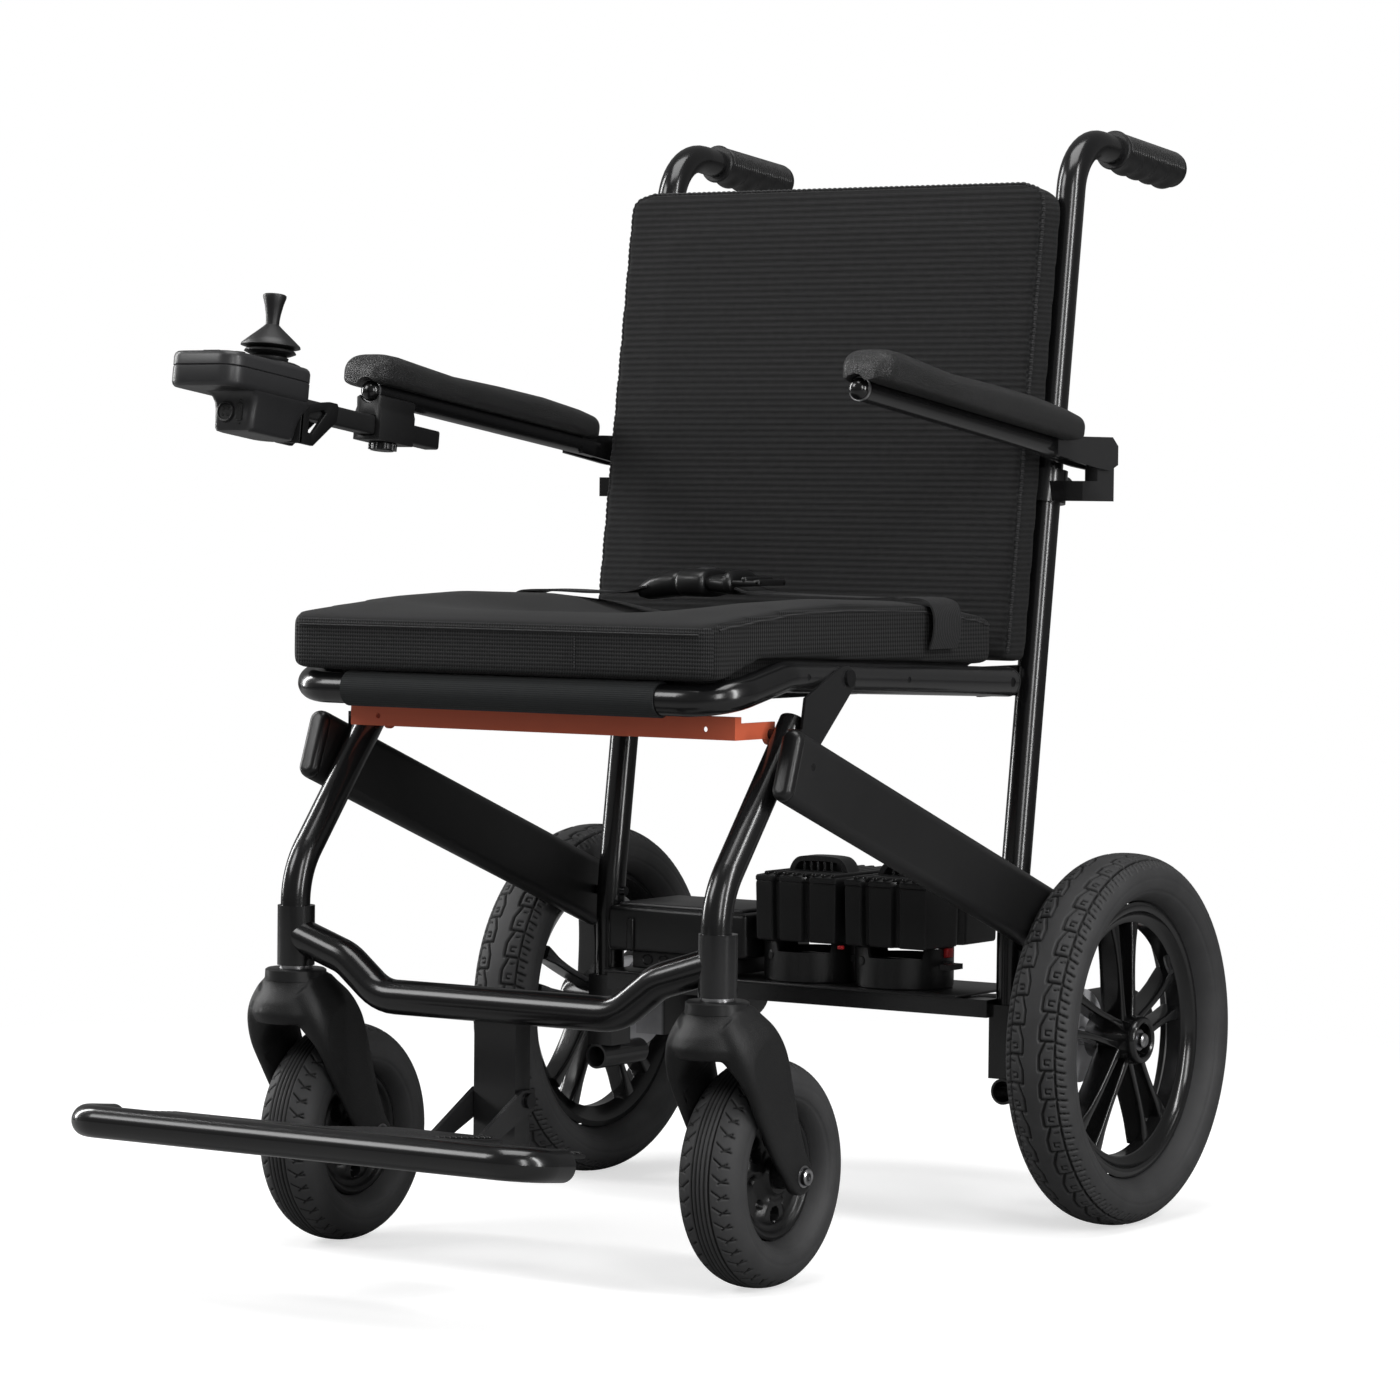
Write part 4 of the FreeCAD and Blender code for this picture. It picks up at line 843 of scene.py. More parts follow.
def caster_rim(side, side_name):
    """A dished disc with three lobes, each with one large and two small recesses."""
    rings, turns = 46, 180
    radii = np.linspace(11.5, 51.4, rings)
    radius, turn = np.meshgrid(radii, np.arange(turns) / turns * 2 * math.pi)
    height = np.repeat(np.interp(radii, *CASTER_DISH)[None, :], turns, 0)
    lobes = 0.5 + 0.5 * np.cos(3 * (turn - LOBE_ANGLE))
    band = np.exp(-((radius - 30) / 10.5) ** 4)
    height = height + 5.0 * band * np.clip((lobes - 0.35) / 0.35, 0, 1)
    for k in range(3):
        lobe = LOBE_ANGLE + k * 2 * math.pi / 3
        for angle, reach, hole_radius, depth in CASTER_HOLES:
            distance = np.hypot(radius * np.cos(turn) - reach * math.cos(lobe + angle),
                                radius * np.sin(turn) - reach * math.sin(lobe + angle))
            height = height - depth * np.clip((hole_radius - distance) / 0.9, 0, 1)
    vertices = np.concatenate([
        wheel_points(CASTER, side, face * height, radius, turn).reshape(-1, 3)
        for face in (1, -1)])
    other = rings * turns
    faces = ring_quads(turns, rings, loop_points=False)
    faces += [tuple(other + corner for corner in face[::-1]) for face in faces]
    for k in (0, rings - 1):
        for i in range(turns):
            here, there = i * rings + k, (i + 1) % turns * rings + k
            faces.append((here, there, other + there, other + here))
    body = "caster_wheel_" + side_name
    rim = make_object("rim_caster_" + side_name, vertices.tolist(), faces, look["plastic"], 45)
    attach(rim, body, "caster_rim_" + side_name)
    hub = lathe("caster_hub_" + side_name, CASTER_HUB, wheel_centre(CASTER, side), (1, 0, 0),
                look["plastic"], 48, 40, closed=True)
    attach(hub, body)


for side, side_name in SIDES:
    caster_rim(side, side_name)

# ------------------------------------------------------------------ caster forks
# centre line x (from the wheel's middle), y, z, then half width and half thickness
FORK_LEG = [
    (12, -526, 208, 26, 20), (26, -522, 196, 28, 15), (33.5, -512, 178, 29, 9.5),
    (34.2, -498, 150, 26, 7.0), (34.2, -484, 122, 21.5, 6.2), (34.2, -470, 100, 17.5, 5.6),
    (34.2, CASTER.y, 88, 15.5, 5.4), (34.2, -460, 84, 12.5, 4.6)]
# profiles are (distance along the axis, radius)
FORK_CROWN = [(0, 0.01), (0, 24.6), (-9, 24.8), (-14, 26.5), (-24, 33), (-34, 35.5),
              (-42, 31), (-43, 0.01)]
FORK_BOSS = [(-5.2, 0.01), (-5.2, 13.5), (-4.0, 15.2), (4.0, 15.2), (5.2, 13.5), (5.2, 0.01)]
FORK_CAP = [(0, 6.3), (2.0, 7.5), (2.0, 23.0), (0.8, 24.8), (-7.5, 25.2), (-8.6, 24.0),
            (-8.6, 6.3)]
STEM_SEAL = [(0.0, 7.0), (0.0, 13.6), (2.1, 13.6), (2.1, 7.0)]
AXLE_HEAD = [(38.6, 0.01), (38.6, 8.6), (39.8, 8.6), (40.2, 6.9), (43.4, 6.6), (44.4, 5.2),
             (43.8, 3.2), (42.4, 3.0), (42.4, 0.01)]


def fork_leg(centre_x, way):
    """One swept leg; way is +1 or -1 along X."""
    path = smooth_path([(way * x, y, z) for x, y, z, _, _ in FORK_LEG], 5)
    rings = []
    for middle, station, i in zip(path, np.linspace(0, len(FORK_LEG) - 1, len(path)),
                                  range(len(path))):
        direction = heading(path, i)
        across = Vector((1, 0, 0)).cross(direction).normalized()
        normal = direction.cross(across).normalized()
        half_width, half_thick = (
            np.interp(station, range(len(FORK_LEG)), [row[column] for row in FORK_LEG])
            for column in (3, 4))
        ring = []
        for k in range(24):
            turn = 2 * math.pi * k / 24
            a = signed_power(math.cos(turn), 0.7) * half_width
            b = signed_power(math.sin(turn), 0.7) * half_thick
            ring.append(point(centre_x + middle.x + across.x * a + normal.x * b,
                              middle.y + across.y * a + normal.y * b,
                              middle.z + across.z * a + normal.z * b))
        rings.append(ring)
    return loft("leg", rings, look["grain"])


def clear_tyre(fork, centre_x):
    """Push the fork's surface off the tyre and keep it within its own width."""
    clearance = 0.0945      # metres from the axle
    coords = get_coords(fork)
    wheel_y, wheel_z = AXLE_Y + CASTER.y / 1000, CASTER.radius / 1000
    off = coords[:, 0] - centre_x / 1000.0
    radius = np.hypot(coords[:, 1] - wheel_y, coords[:, 2] - wheel_z)
    inside = (np.abs(off) < 0.0288) & (radius < clearance) & (radius > 0.075)
    grow = clearance / radius[inside]
    coords[inside, 1] = wheel_y + (coords[inside, 1] - wheel_y) * grow
    coords[inside, 2] = wheel_z + (coords[inside, 2] - wheel_z) * grow
    coords[:, 0] = centre_x / 1000.0 + np.clip(off, -0.0405, 0.0405)
    set_coords(fork, coords)


def caster_fork(side, side_name):
    """Crown, legs and axle bosses fused and smoothed, then a cap, a seal and axle heads."""
    centre_x = side * CASTER.x
    stem_top = point(centre_x, STEM_Y, STEM_Z)
    body = "caster_fork_" + side_name
    parts = [lathe("crown", FORK_CROWN, stem_top, (0, 0, 1), look["grain"], 64)]
    for way in (-1, 1):
        parts.append(fork_leg(centre_x, way))
        boss_centre = point(centre_x + way * FORK_LEG_X, CASTER.y, CASTER.radius)
        parts.append(lathe("boss", FORK_BOSS, boss_centre, (1, 0, 0), look["grain"], 40))
    fork = join("fork_" + side_name, parts)
    modify(fork, "REMESH", mode="VOXEL", voxel_size=0.0016)
    modify(fork, "SMOOTH", factor=0.6, iterations=10)
    apply_modifiers(fork)
    clear_tyre(fork, centre_x)
    finish_mesh(fork.data, 60)
    set_materials(fork, "grain")
    attach(fork, body, body)
    cap = lathe("fork_cap_" + side_name, FORK_CAP, stem_top, (0, 0, 1), look["plastic"], 72,
                closed=True)
    attach(cap, body)
    seal = lathe("stem_seal_" + side_name, STEM_SEAL, point(centre_x, STEM_Y, STEM_Z + 2.1),
                 (0, 0, 1), look["steel"], 64, closed=True)
    attach(seal, body)
    for way in (-1, 1):
        letter = "o" if way * side > 0 else "i"
        head = lathe(f"axle_head_{side_name}_{letter}", AXLE_HEAD, wheel_centre(CASTER, side),
                     (way, 0, 0), look["steel"], 36, 25)
        attach(head, body)


for side, side_name in SIDES:
    caster_fork(side, side_name)

# ------------------------------------------------------------------ push grips
GRIP_X = 204.5
GRIP_START, GRIP_END = 88, 203.0        # y
HANDLE_END = (199.0, 908.0)             # y, z of the handle's rear end
HANDLE_BEND_Z = 924.8                   # where the handle leaves the leaning back post
# the post's line leans back from y -71, z 262
HANDLE_BEND_Y = -71.0 + (HANDLE_BEND_Z - 262.0) * math.tan(math.radians(BACK_LEAN))
HANDLE_SLOPE = (HANDLE_END[1] - HANDLE_BEND_Z) / (HANDLE_END[0] - HANDLE_BEND_Y)


def grip(side):
    """A rubber grip with finger waves below, fine ribs above and a lip at its front end."""
    start, end = (point(side * GRIP_X, y, HANDLE_END[1] + (y - HANDLE_END[0]) * HANDLE_SLOPE)
                  for y in (GRIP_START, GRIP_END))
    direction = (end - start).normalized()
    length = (end - start).length * 1000
    up = Vector((1, 0, 0)).cross(direction)
    if up.z < 0:
        up = -up
    sideways = direction.cross(up)
    steps, segments = 230, 72
    rings = []
    for i in range(steps + 1):
        along = length * i / steps
        end_round = math.sqrt(max(0.0, 1 - max(0, (along - (length - 5)) / 5.2) ** 2))
        edge = min(1.0, end_round)
        lip = 1.6 * math.exp(-((along - 2.5) / 2.0) ** 2)
        finger = 0.5 - 0.5 * math.cos(2 * math.pi * (along - 12) / ((length - 20) / 4))
        rib = 1 if (along % 3.4) < 1.9 else -0.4
        ring = []
        for k in range(segments):
            turn = 2 * math.pi * k / segments
            across, height = math.cos(turn), math.sin(turn)
            radius = 15.6 + lip
            if height < 0.2 and 12 < along < length - 8:
                radius += max(0, -height + 0.2) * 3.0 * finger
            if height > -0.25 and 8 < along < length - 7:
                radius += 0.7 * rib * min(1, (height + 0.25) * 3)
            radius *= max(edge, 0.12)
            ring.append(start + direction * (along / 1000)
                        + (sideways * across + up * height) * (radius / 1000))
        rings.append(ring)
    return loft("grip", rings, look["rubber"], 50)


attach(join("grips", [grip(1), grip(-1)]), "back_frame", "push_grips")


# ------------------------------------------------------------------ cushion helpers
def inflate(obj, cap, weight):
    """Remesh, then swell by cloth pressure; the move is capped (m) and weighted by place."""
    modify(obj, "REMESH", mode="VOXEL", voxel_size=0.0045)
    apply_modifiers(obj)
    rest = get_coords(obj)
    cloth = obj.modifiers.new("cloth", "CLOTH")
    cloth.settings.quality = 5
    cloth.settings.use_pressure = True
    cloth.settings.uniform_pressure_force = 4.0
    cloth.settings.effector_weights.gravity = 0.0
    cloth.collision_settings.use_collision = False
    scene = bpy.context.scene
    frames = 20
    scene.frame_start, scene.frame_end = 1, frames
    cloth.point_cache.frame_start, cloth.point_cache.frame_end = 1, frames
    for number in range(1, frames + 1):
        scene.frame_set(number)
    apply_modifiers(obj)
    scene.frame_set(1)
    move = get_coords(obj) - rest
    length = np.linalg.norm(move, axis=1)
    limit = np.where(length > cap, cap / np.maximum(length, 1e-9), 1.0)
    set_coords(obj, rest + move * limit[:, None] * weight(rest)[:, None])
    modify(obj, "SMOOTH", factor=0.5, iterations=4)
    modify(obj, "SUBSURF", levels=1, render_levels=1)
    apply_modifiers(obj)
    finish_mesh(obj.data, 80)


def ease(distance, width):
    """Smooth step from 0 to 1 over a width."""
    t = np.clip(distance / width, 0, 1)
    return t * t * (3 - 2 * t)


def snap(obj, points, lift=0.0004):
    """Move points to the nearest place on an object, standing proud by lift (m)."""
    mesh = obj.data
    tree = BVHTree.FromPolygons([vertex.co.copy() for vertex in mesh.vertices],
                                [tuple(face.vertices) for face in mesh.polygons])
    snapped = []
    for place in points:
        location, normal, _, _ = tree.find_nearest(place)
        snapped.append(location + normal * lift)
    return snapped


def round_corner(x, y, half_width, low, high, radius):
    """Pull a point of a rectangle in onto its rounded corners."""
    middle_x = min(max(x, -half_width + radius), half_width - radius)
    middle_y = min(max(y, low + radius), high - radius)
    distance = math.hypot(x - middle_x, y - middle_y)
    if distance > radius:
        scale = radius / distance
        return middle_x + (x - middle_x) * scale, middle_y + (y - middle_y) * scale
    return x, y


def slab(name, vertices, columns, rows, material, flip=False):
    """A closed slab from two grids of points; flip turns every face's winding round."""
    def corner(layer, j, i):
        return (layer * rows + j) * columns + i

    faces = []
    for j in range(rows - 1):
        for i in range(columns - 1):
            faces.append((corner(0, j, i), corner(0, j, i + 1),
                          corner(0, j + 1, i + 1), corner(0, j + 1, i)))
            faces.append((corner(1, j, i), corner(1, j + 1, i),
                          corner(1, j + 1, i + 1), corner(1, j, i + 1)))
    end = rows - 1
    for i in range(columns - 1):
        faces.append((corner(0, 0, i), corner(1, 0, i), corner(1, 0, i + 1), corner(0, 0, i + 1)))
        faces.append((corner(0, end, i), corner(0, end, i + 1),
                      corner(1, end, i + 1), corner(1, end, i)))
    end = columns - 1
    for j in range(rows - 1):
        faces.append((corner(0, j, 0), corner(0, j + 1, 0), corner(1, j + 1, 0), corner(1, j, 0)))
        faces.append((corner(0, j, end), corner(1, j, end),
                      corner(1, j + 1, end), corner(0, j + 1, end)))
    if flip:
        faces = [(a, d, c, b) for a, b, c, d in faces]
    return make_object(name, vertices, faces, material, 80)


# ------------------------------------------------------------------ seat cushion
SEAT_HALF_WIDTH = 203.5
SEAT_FRONT, SEAT_REAR = -541.0, -104
SEAT_GRID = 70
# y, height of the top near the sides, height along the middle
SEAT_TOP = np.array([
    (-543, 515, 515), (-520, 519, 518), (-480, 523, 517), (-425, 528, 514),
    (-343, 531, 509), (-225, 528, 507), (-147, 521, 507), (-104, 514, 508)]).T
# y, height of the underside
SEAT_BOTTOM = np.array([
    (-543, 472.8), (-521, 472.8), (-466, 489.0), (-421, 488.4), (-104, 477.4)]).T
# y, lowest height allowed after swelling
SEAT_FLOOR = np.array([
    (-548, 472.1), (-543, 472.1), (-521, 472.1), (-466, 487.6), (-421, 487.2),
    (-104, 475.6)]).T


def seat_top(x, y):
    toward_side = ease(abs(x) - 70, 110.0)
    stations, edge, middle = SEAT_TOP
    return ((1 - toward_side) * np.interp(y, stations, middle)
            + toward_side * np.interp(y, stations, edge))


def seat_bottom(x, y):
    return float(np.interp(y, *SEAT_BOTTOM))


def seat_swell(rest):
    """Full swelling in the middle, little near the sewn edges."""
    x, y = np.abs(rest[:, 0]) * 1000, (rest[:, 1] - AXLE_Y) * 1000
    return 0.12 + 0.88 * ease(203 - x, 60) * ease(y + 541, 60) * ease(-104 - y, 40)


def fit_seat(seat):
    """Keep the seat clear of the backrest and rails, with a belly hanging between the rails."""
    coords = get_coords(seat)
    coords[:, 1] = np.minimum(coords[:, 1], AXLE_Y - 0.1015)
    coords[:, 0] = np.clip(coords[:, 0], -0.2085, 0.2085)
    y = (coords[:, 1] - AXLE_Y) * 1000
    coords[:, 2] = np.maximum(coords[:, 2], np.interp(y, *SEAT_FLOOR) / 1000)
    belly = (np.clip((0.1895 - np.abs(coords[:, 0])) / 0.005, 0, 1)
             * np.clip((y + 497) / 8.0, 0, 1) * np.clip((-120 - y) / 6.0, 0, 1)
             * (coords[:, 2] < 0.497))
    coords[:, 2] = coords[:, 2] * (1 - belly) + 0.4612 * belly
    set_coords(seat, coords)


def attach_seat_piece(obj, replaced=None):
    """Seat pieces ride the seat frame, each with its own copy of its mesh."""
    attach(obj, "seat_frame", replaced)
    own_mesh(obj)


def seat_cushion():
    vertices = []
    for height in (seat_top, seat_bottom):
        for row in np.linspace(SEAT_FRONT, SEAT_REAR, SEAT_GRID):
            for column in np.linspace(-SEAT_HALF_WIDTH, SEAT_HALF_WIDTH, SEAT_GRID):
                x, y = round_corner(column, row, SEAT_HALF_WIDTH, SEAT_FRONT, SEAT_REAR, 11)
                vertices.append(point(x, y, height(x, y)))
    seat = slab("seat_cushion_soft", vertices, SEAT_GRID, SEAT_GRID, look["seat top"])
    inflate(seat, 0.005, seat_swell)
    fit_seat(seat)
    set_materials(seat, "seat top", "seat front", "seat side")
    for face in seat.data.polygons:
        if face.normal.z < 0.62:
            face.material_index = 1 if face.normal.y < -0.55 else 2
    finish_mesh(seat.data, 80)
    attach_seat_piece(seat, "seat_cushion")
    return seat


def seat_seam(seat, name, points, radius):
    path = smooth_path(snap(seat, points), 2)
    attach_seat_piece(sweep_round(name, path, [radius] * len(path), look["thread"], 8))


seat = seat_cushion()
seat_seam(seat, "seat_front_seam", [point(x, -547, float(seat_top(x, SEAT_FRONT)) - 7.0)
                                    for x in np.linspace(-192, 192, 60)], 0.0009)
seat_seam(seat, "seat_centre_seam",
          [point(77, -547, z) for z in np.linspace(505, 478, 12)], 0.0007)
for way, side_name in ((-1, "right"), (1, "left")):
    seat_seam(seat, "seat_side_seam_" + side_name,
              [point(way * 209, y, float(seat_top(204, y)) - 5.0)
               for y in np.linspace(-530, -112, 60)], 0.0009)

# ------------------------------------------------------------------ backrest cushion
BACK_HALF_WIDTH = 210
BACK_TOP = 407                          # height up the slope
BACK_GRID = 56
PIPING_X = 209.8
PIPING_RADIUS = 26                      # at the upper corners
PIPING_DEPTH = 4.2


def back_local(coords):
    """Metres in the backrest's leaning frame: x, depth, height."""
    return (coords - np.array(back_point(0, 0, 0))) @ np.array(BACK_TILT)


def back_swell(rest):
    local = back_local(rest) * 1000
    return (0.10 + 0.90 * ease(206 - np.abs(local[:, 0]), 70)
            * ease(local[:, 2] - 2, 60) * ease(404 - local[:, 2], 60))


def backrest_cushion():
    vertices = []
    for depth in (1.2, 37.2):
        for row in np.linspace(2, BACK_TOP, BACK_GRID):
            for column in np.linspace(-BACK_HALF_WIDTH, BACK_HALF_WIDTH, BACK_GRID):
                # only the upper corners are rounded
                x, height = round_corner(column, row, BACK_HALF_WIDTH, -math.inf, BACK_TOP, 20)
                vertices.append(back_point(x, depth, height))
    back = slab("backrest_cushion_soft", vertices, BACK_GRID, BACK_GRID, look["back mesh"],
                flip=True)
    inflate(back, 0.004, back_swell)
    local = back_local(get_coords(back))
    local[:, 0] = np.clip(local[:, 0], -0.2125, 0.2125)
    local[:, 1] = np.clip(local[:, 1], -0.0015, 0.0384)
    local[:, 2] = np.clip(local[:, 2], 0.0005, 0.4095)
    set_coords(back, local @ np.array(BACK_TILT).T + np.array(back_point(0, 0, 0)))
    set_materials(back, "back mesh", "side band")
    for face in back.data.polygons:
        if abs(face.normal.x) > 0.6 or face.normal.z > 0.75:
            face.material_index = 1
    finish_mesh(back.data, 80)
    attach(back, "back_frame", "backrest_cushion")
    return back


def backrest_piping(back):
    """Beaded thread up one side of the front edge, over the top and down the other."""
    centre_x, centre_height = PIPING_X - PIPING_RADIUS, BACK_TOP - PIPING_RADIUS

    def corner(way, angles):
        return [(way * centre_x + PIPING_RADIUS * math.cos(math.radians(angle)),
                 centre_height + PIPING_RADIUS * math.sin(math.radians(angle)))
                for angle in angles]

    line = [(-PIPING_X, height) for height in np.linspace(6, 378, 20)]
    line += corner(-1, np.linspace(180, 90, 7)[1:])
    line += [(x, BACK_TOP) for x in np.linspace(-150, 150, 12)]
    line += corner(1, np.linspace(90, 0, 7)[:-1])
    line += [(PIPING_X, height) for height in np.linspace(378, 6, 20)]
    points = [back_point(x, PIPING_DEPTH, height) for x, height in line]
    path = smooth_path(snap(back, smooth_path(points, 8)), 6)
    radii = []
    run = 0.0
    for i, place in enumerate(path):
        run += (place - path[max(i - 1, 0)]).length
        radii.append(0.0010 + 0.0007 * abs(math.sin(math.pi * run / 0.0052)))
    piping = sweep_round("backrest_piping", path, radii, look["thread"], 8, 80)
    attach(piping, "back_frame")


backrest_piping(backrest_cushion())

# ------------------------------------------------------------------ armrest pads
PAD_START, PAD_END = -11.5, 318.0       # along the tilted pad
PAD_BOTTOM = 4.2
# distance along the pad, height of its top
PAD_TOP = np.array([
    (-11, 31), (0, 32.0), (20, 32.6), (50, 31.0), (100, 28.6), (170, 30.6), (235, 31.2),
    (290, 28.8), (318, 25.5)]).T
TUBE_FRONT_Y, TUBE_FRONT_Z = -383.6, 699.2


def arm_pad(side):
    """A pad raised at the front, with rounded ends, hollowed beneath for the arm tube."""
    pad_point = tilted_frame(point(side * 244.7, TUBE_FRONT_Y, TUBE_FRONT_Z), ARM_TILT)
    steps, segments = 110, 56
    rings = []
    for i in range(steps + 1):
        along = PAD_START + (PAD_END - PAD_START) * (0.5 - 0.5 * math.cos(math.pi * i / steps))
        from_front = min(1, max(0.0, (along - PAD_START) / 17.0))
        from_rear = min(1, max(0.0, (PAD_END - along) / 9.0))
        front = math.sqrt(max(0, 1 - (1 - from_front) ** 2))
        rear = math.sqrt(max(0, 1 - (1 - from_rear) ** 2))
        half_width = 24.0 * (0.45 + 0.55 * front) * (0.7 + 0.3 * rear)
        top = np.interp(along, *PAD_TOP)
        top = (PAD_BOTTOM + 9
               + (top - PAD_BOTTOM - 9) * (0.1 + 0.9 * front) * (0.3 + 0.7 * rear))
        middle = (top + PAD_BOTTOM) / 2
        half_height = (top - PAD_BOTTOM) / 2 * (0.75 + 0.25 * min(front, rear))
        ring = []
        for k in range(segments):
            turn = 2 * math.pi * k / segments
            sine = math.sin(turn)
            x = signed_power(math.cos(turn), 0.55) * half_width
            z = middle + signed_power(sine, 0.80 if sine > 0 else 0.35) * half_height
            from_tube = x + 6.4 * side
            if sine < 0:
                x *= 1.0 - 0.05 * abs(sine)
                z = max(z, math.sqrt(max(0.0, 10.6 ** 2 - from_tube ** 2)))
            ring.append(pad_point(x, along, z))
        rings.append(ring)
    return rings


BALL_RADII = (8.0, 8.9)                 # along the tube, across it
BALL_PROFILE = ([(2.0, BALL_RADII[1])]
                + [(2.0 + BALL_RADII[0] * math.sin(math.radians(angle)),
                    BALL_RADII[1] * math.cos(math.radians(angle)))
                   for angle in range(10, 91, 8)] + [(10.0, 0.0)])
for side, side_name in SIDES:
    body = "armrest_" + side_name
    pad = loft("arm_pad_" + side_name, arm_pad(side), look["leather"], 60)
    attach(pad, body, "armrest_pad_" + side_name)
    tube_front = point(side * ARM_TUBE_X, TUBE_FRONT_Y, TUBE_FRONT_Z)
    ring = lathe("arm_ring_" + side_name,
                 [(0, 9.5), (1.4, 9.9), (2.4, 9.6), (2.4, 8.0), (0, 8.0)],
                 tube_front, STICK_FRONT, look["steel"], 64, 40, closed=True)
    attach(ring, body)
    ball = lathe("arm_ball_" + side_name, BALL_PROFILE, tube_front, STICK_FRONT,
                 look["wheel"], 64, 60)
    attach(ball, body)

# ------------------------------------------------------------------ joystick
# (height, radius) from the boot's foot to the knob's top
STICK_PROFILE = [
    (33.2, 0.01), (33.2, 12.5), (36.4, 15.2), (38.4, 15.6), (39.2, 14.0), (39.9, 13.0),
    (40.8, 17.5), (42.6, 21.4), (44.2, 20.6), (44.8, 17.8), (45.6, 15.5), (46.2, 20.5),
    (47.4, 24.6), (49.0, 24.2), (54, 18.6), (60, 11.6), (63.5, 7.6), (65.5, 5.6), (69, 5.6),
    (74, 6.2), (82, 7.8), (88.2, 9.7), (89.8, 9.6), (90.6, 8.4), (90.2, 5.5), (89.8, 0.01)]
COLLAR_PROFILE = [(30.9, 20.0), (30.9, 26.0), (33.0, 25.6), (34.2, 22.6), (34.2, 17.0),
                  (30.9, 17.0)]
CASE_OUTLINE = (-290, -220, -298, -180, 17, 26)     # as in rounded_rect
# (height, inset) up each shell of the case
LOWER_SHELL = [(2.2, 4.0), (2.6, 2.2), (4.2, 0.7), (6.5, 0.0), (18.3, 0.0), (19.0, 0.7),
               (19.1, 3.0)]
UPPER_SHELL = [(19.2, 3.0), (19.3, 0.7), (20.0, 0.0), (26.6, 0.0), (29.2, 0.9), (30.6, 2.4),
               (31.0, 4.6)]
# z, x from, x to, y from, y to of the block under the case
CASE_BLOCK = [
    (3.0, -277, -221.5, -268, -181.5), (1.2, -273, -221.8, -265, -182.5),
    (-1.5, -269.5, -222.4, -263, -184.5), (-6, -267, -223.4, -262.2, -188),
    (-11, -266, -224.4, -262, -191.5), (-18, -265.5, -225.2, -262, -194),
    (-26.5, -265, -226, -261.8, -195.5), (-29.0, -264, -227, -261, -196.4),
    (-30.0, -261, -230, -258, -199.5)]
# (y, z) outline and opening of the two bracket cheeks
CHEEK_OUTLINE = [(-197, 2), (-160, 9), (-150, 9), (-148, 6), (-149, -6), (-178, -30),
                 (-197, -30)]
CHEEK_HOLE = [(-186, -4), (-168, 1), (-164, -1), (-180, -20), (-186, -20)]


def joystick_case():
    parts = [loft("shell", [[stick_point(x, y, z) for x, y in rounded_rect(*CASE_OUTLINE, inset)]
                            for z, inset in rows], look["charcoal"], 35)
             for rows in (LOWER_SHELL, UPPER_SHELL)]
    parts.append(loft("block", [[stick_point(x, y, z) for x, y in rounded_rect(*sides, 6, 15)]
                                for z, *sides in CASE_BLOCK], look["charcoal"], 50))
    attach(join("joystick_case", parts), "joystick_bar", "controller_shells")


def facing_front(a, b, depth):
    """Plates drawn in (x, z), with their depth along y."""
    return stick_point(a, depth, b)


def joystick_arm():
    """Two cheeks, the web across them and the square tube behind."""
    satin = look["satin"]
    parts = [plate(CHEEK_OUTLINE, [CHEEK_HOLE], start, end,
                   lambda a, b, depth: stick_point(depth, a, b), satin)
             for start, end in ((-251, -247), (-229.8, -225.8))]
    web = [(-251, -30), (-225.8, -30), (-225.8, 2), (-251, 2)]
    parts.append(plate(web, [], -197.2, -193.5, facing_front, satin))
    parts.append(plate(rounded_rect(-246.3, -230.3, -8, 8, 2.2, 2.2, steps=4),
                       [rounded_rect(-244.3, -232.3, -6, 6, 1, 1, steps=3)],
                       -186, 0, facing_front, satin, bevel=0.3))
    attach(join("joystick_arm", parts), "joystick_bar", "joystick_bar")


def joystick_saddle():
    """A saddle under the arm tube with a lobed knob below, as long as the CAD clamp allows."""
    clamp = get_coords(cad_nodes["joystick_clamp"])
    clamp_y = ((clamp - np.array(STICK_ORIGIN)) @ np.array(ARM_TILT) * 1000)[:, 1]
    start, end = float(clamp_y.min()), float(clamp_y.max())
    cradle = [(-ARM_TUBE_X + 10.3 * math.sin(math.radians(angle)),
               min(29.0 - 10.3 * math.cos(math.radians(angle)), 28.0))
              for angle in range(72, -73, -9)]
    outline = ([(-252, -12), (-224.6, -12), (-224.6, 12), (-226, 16), (-225.2, 24)] + cradle
               + [(-251.4, 24), (-250.6, 16), (-252, 12)])
    middle = (start + end) / 2
    parts = [plate(outline, [rounded_rect(-246.7, -229.9, -8.4, 8.4, 1.5, 1.5, steps=3)],
                   start + 4, end - 4, facing_front, look["satin"], bevel=0.5),
             lathe("knob", [(12, 0.01), (12, 9.5), (13, 10.5), (17.5, 10.5), (18.5, 9.5),
                            (18.5, 0.01)],
                   stick_point(-ARM_TUBE_X, middle, 0), STICK_DOWN, look["plastic"], 48, 30)]
    for k in range(8):
        turn = math.radians(45 * k)
        centre = stick_point(-ARM_TUBE_X + 9.8 * math.cos(turn),
                             middle + 9.8 * math.sin(turn), 0)
        parts.append(lathe("lobe", [(12.5, 2.4), (18.0, 2.4), (18.0, 0.01)], centre,
                           STICK_DOWN, look["plastic"], 14, 30))
    attach(join("joystick_saddle", parts), "armrest_right",
           "joystick_clamp")


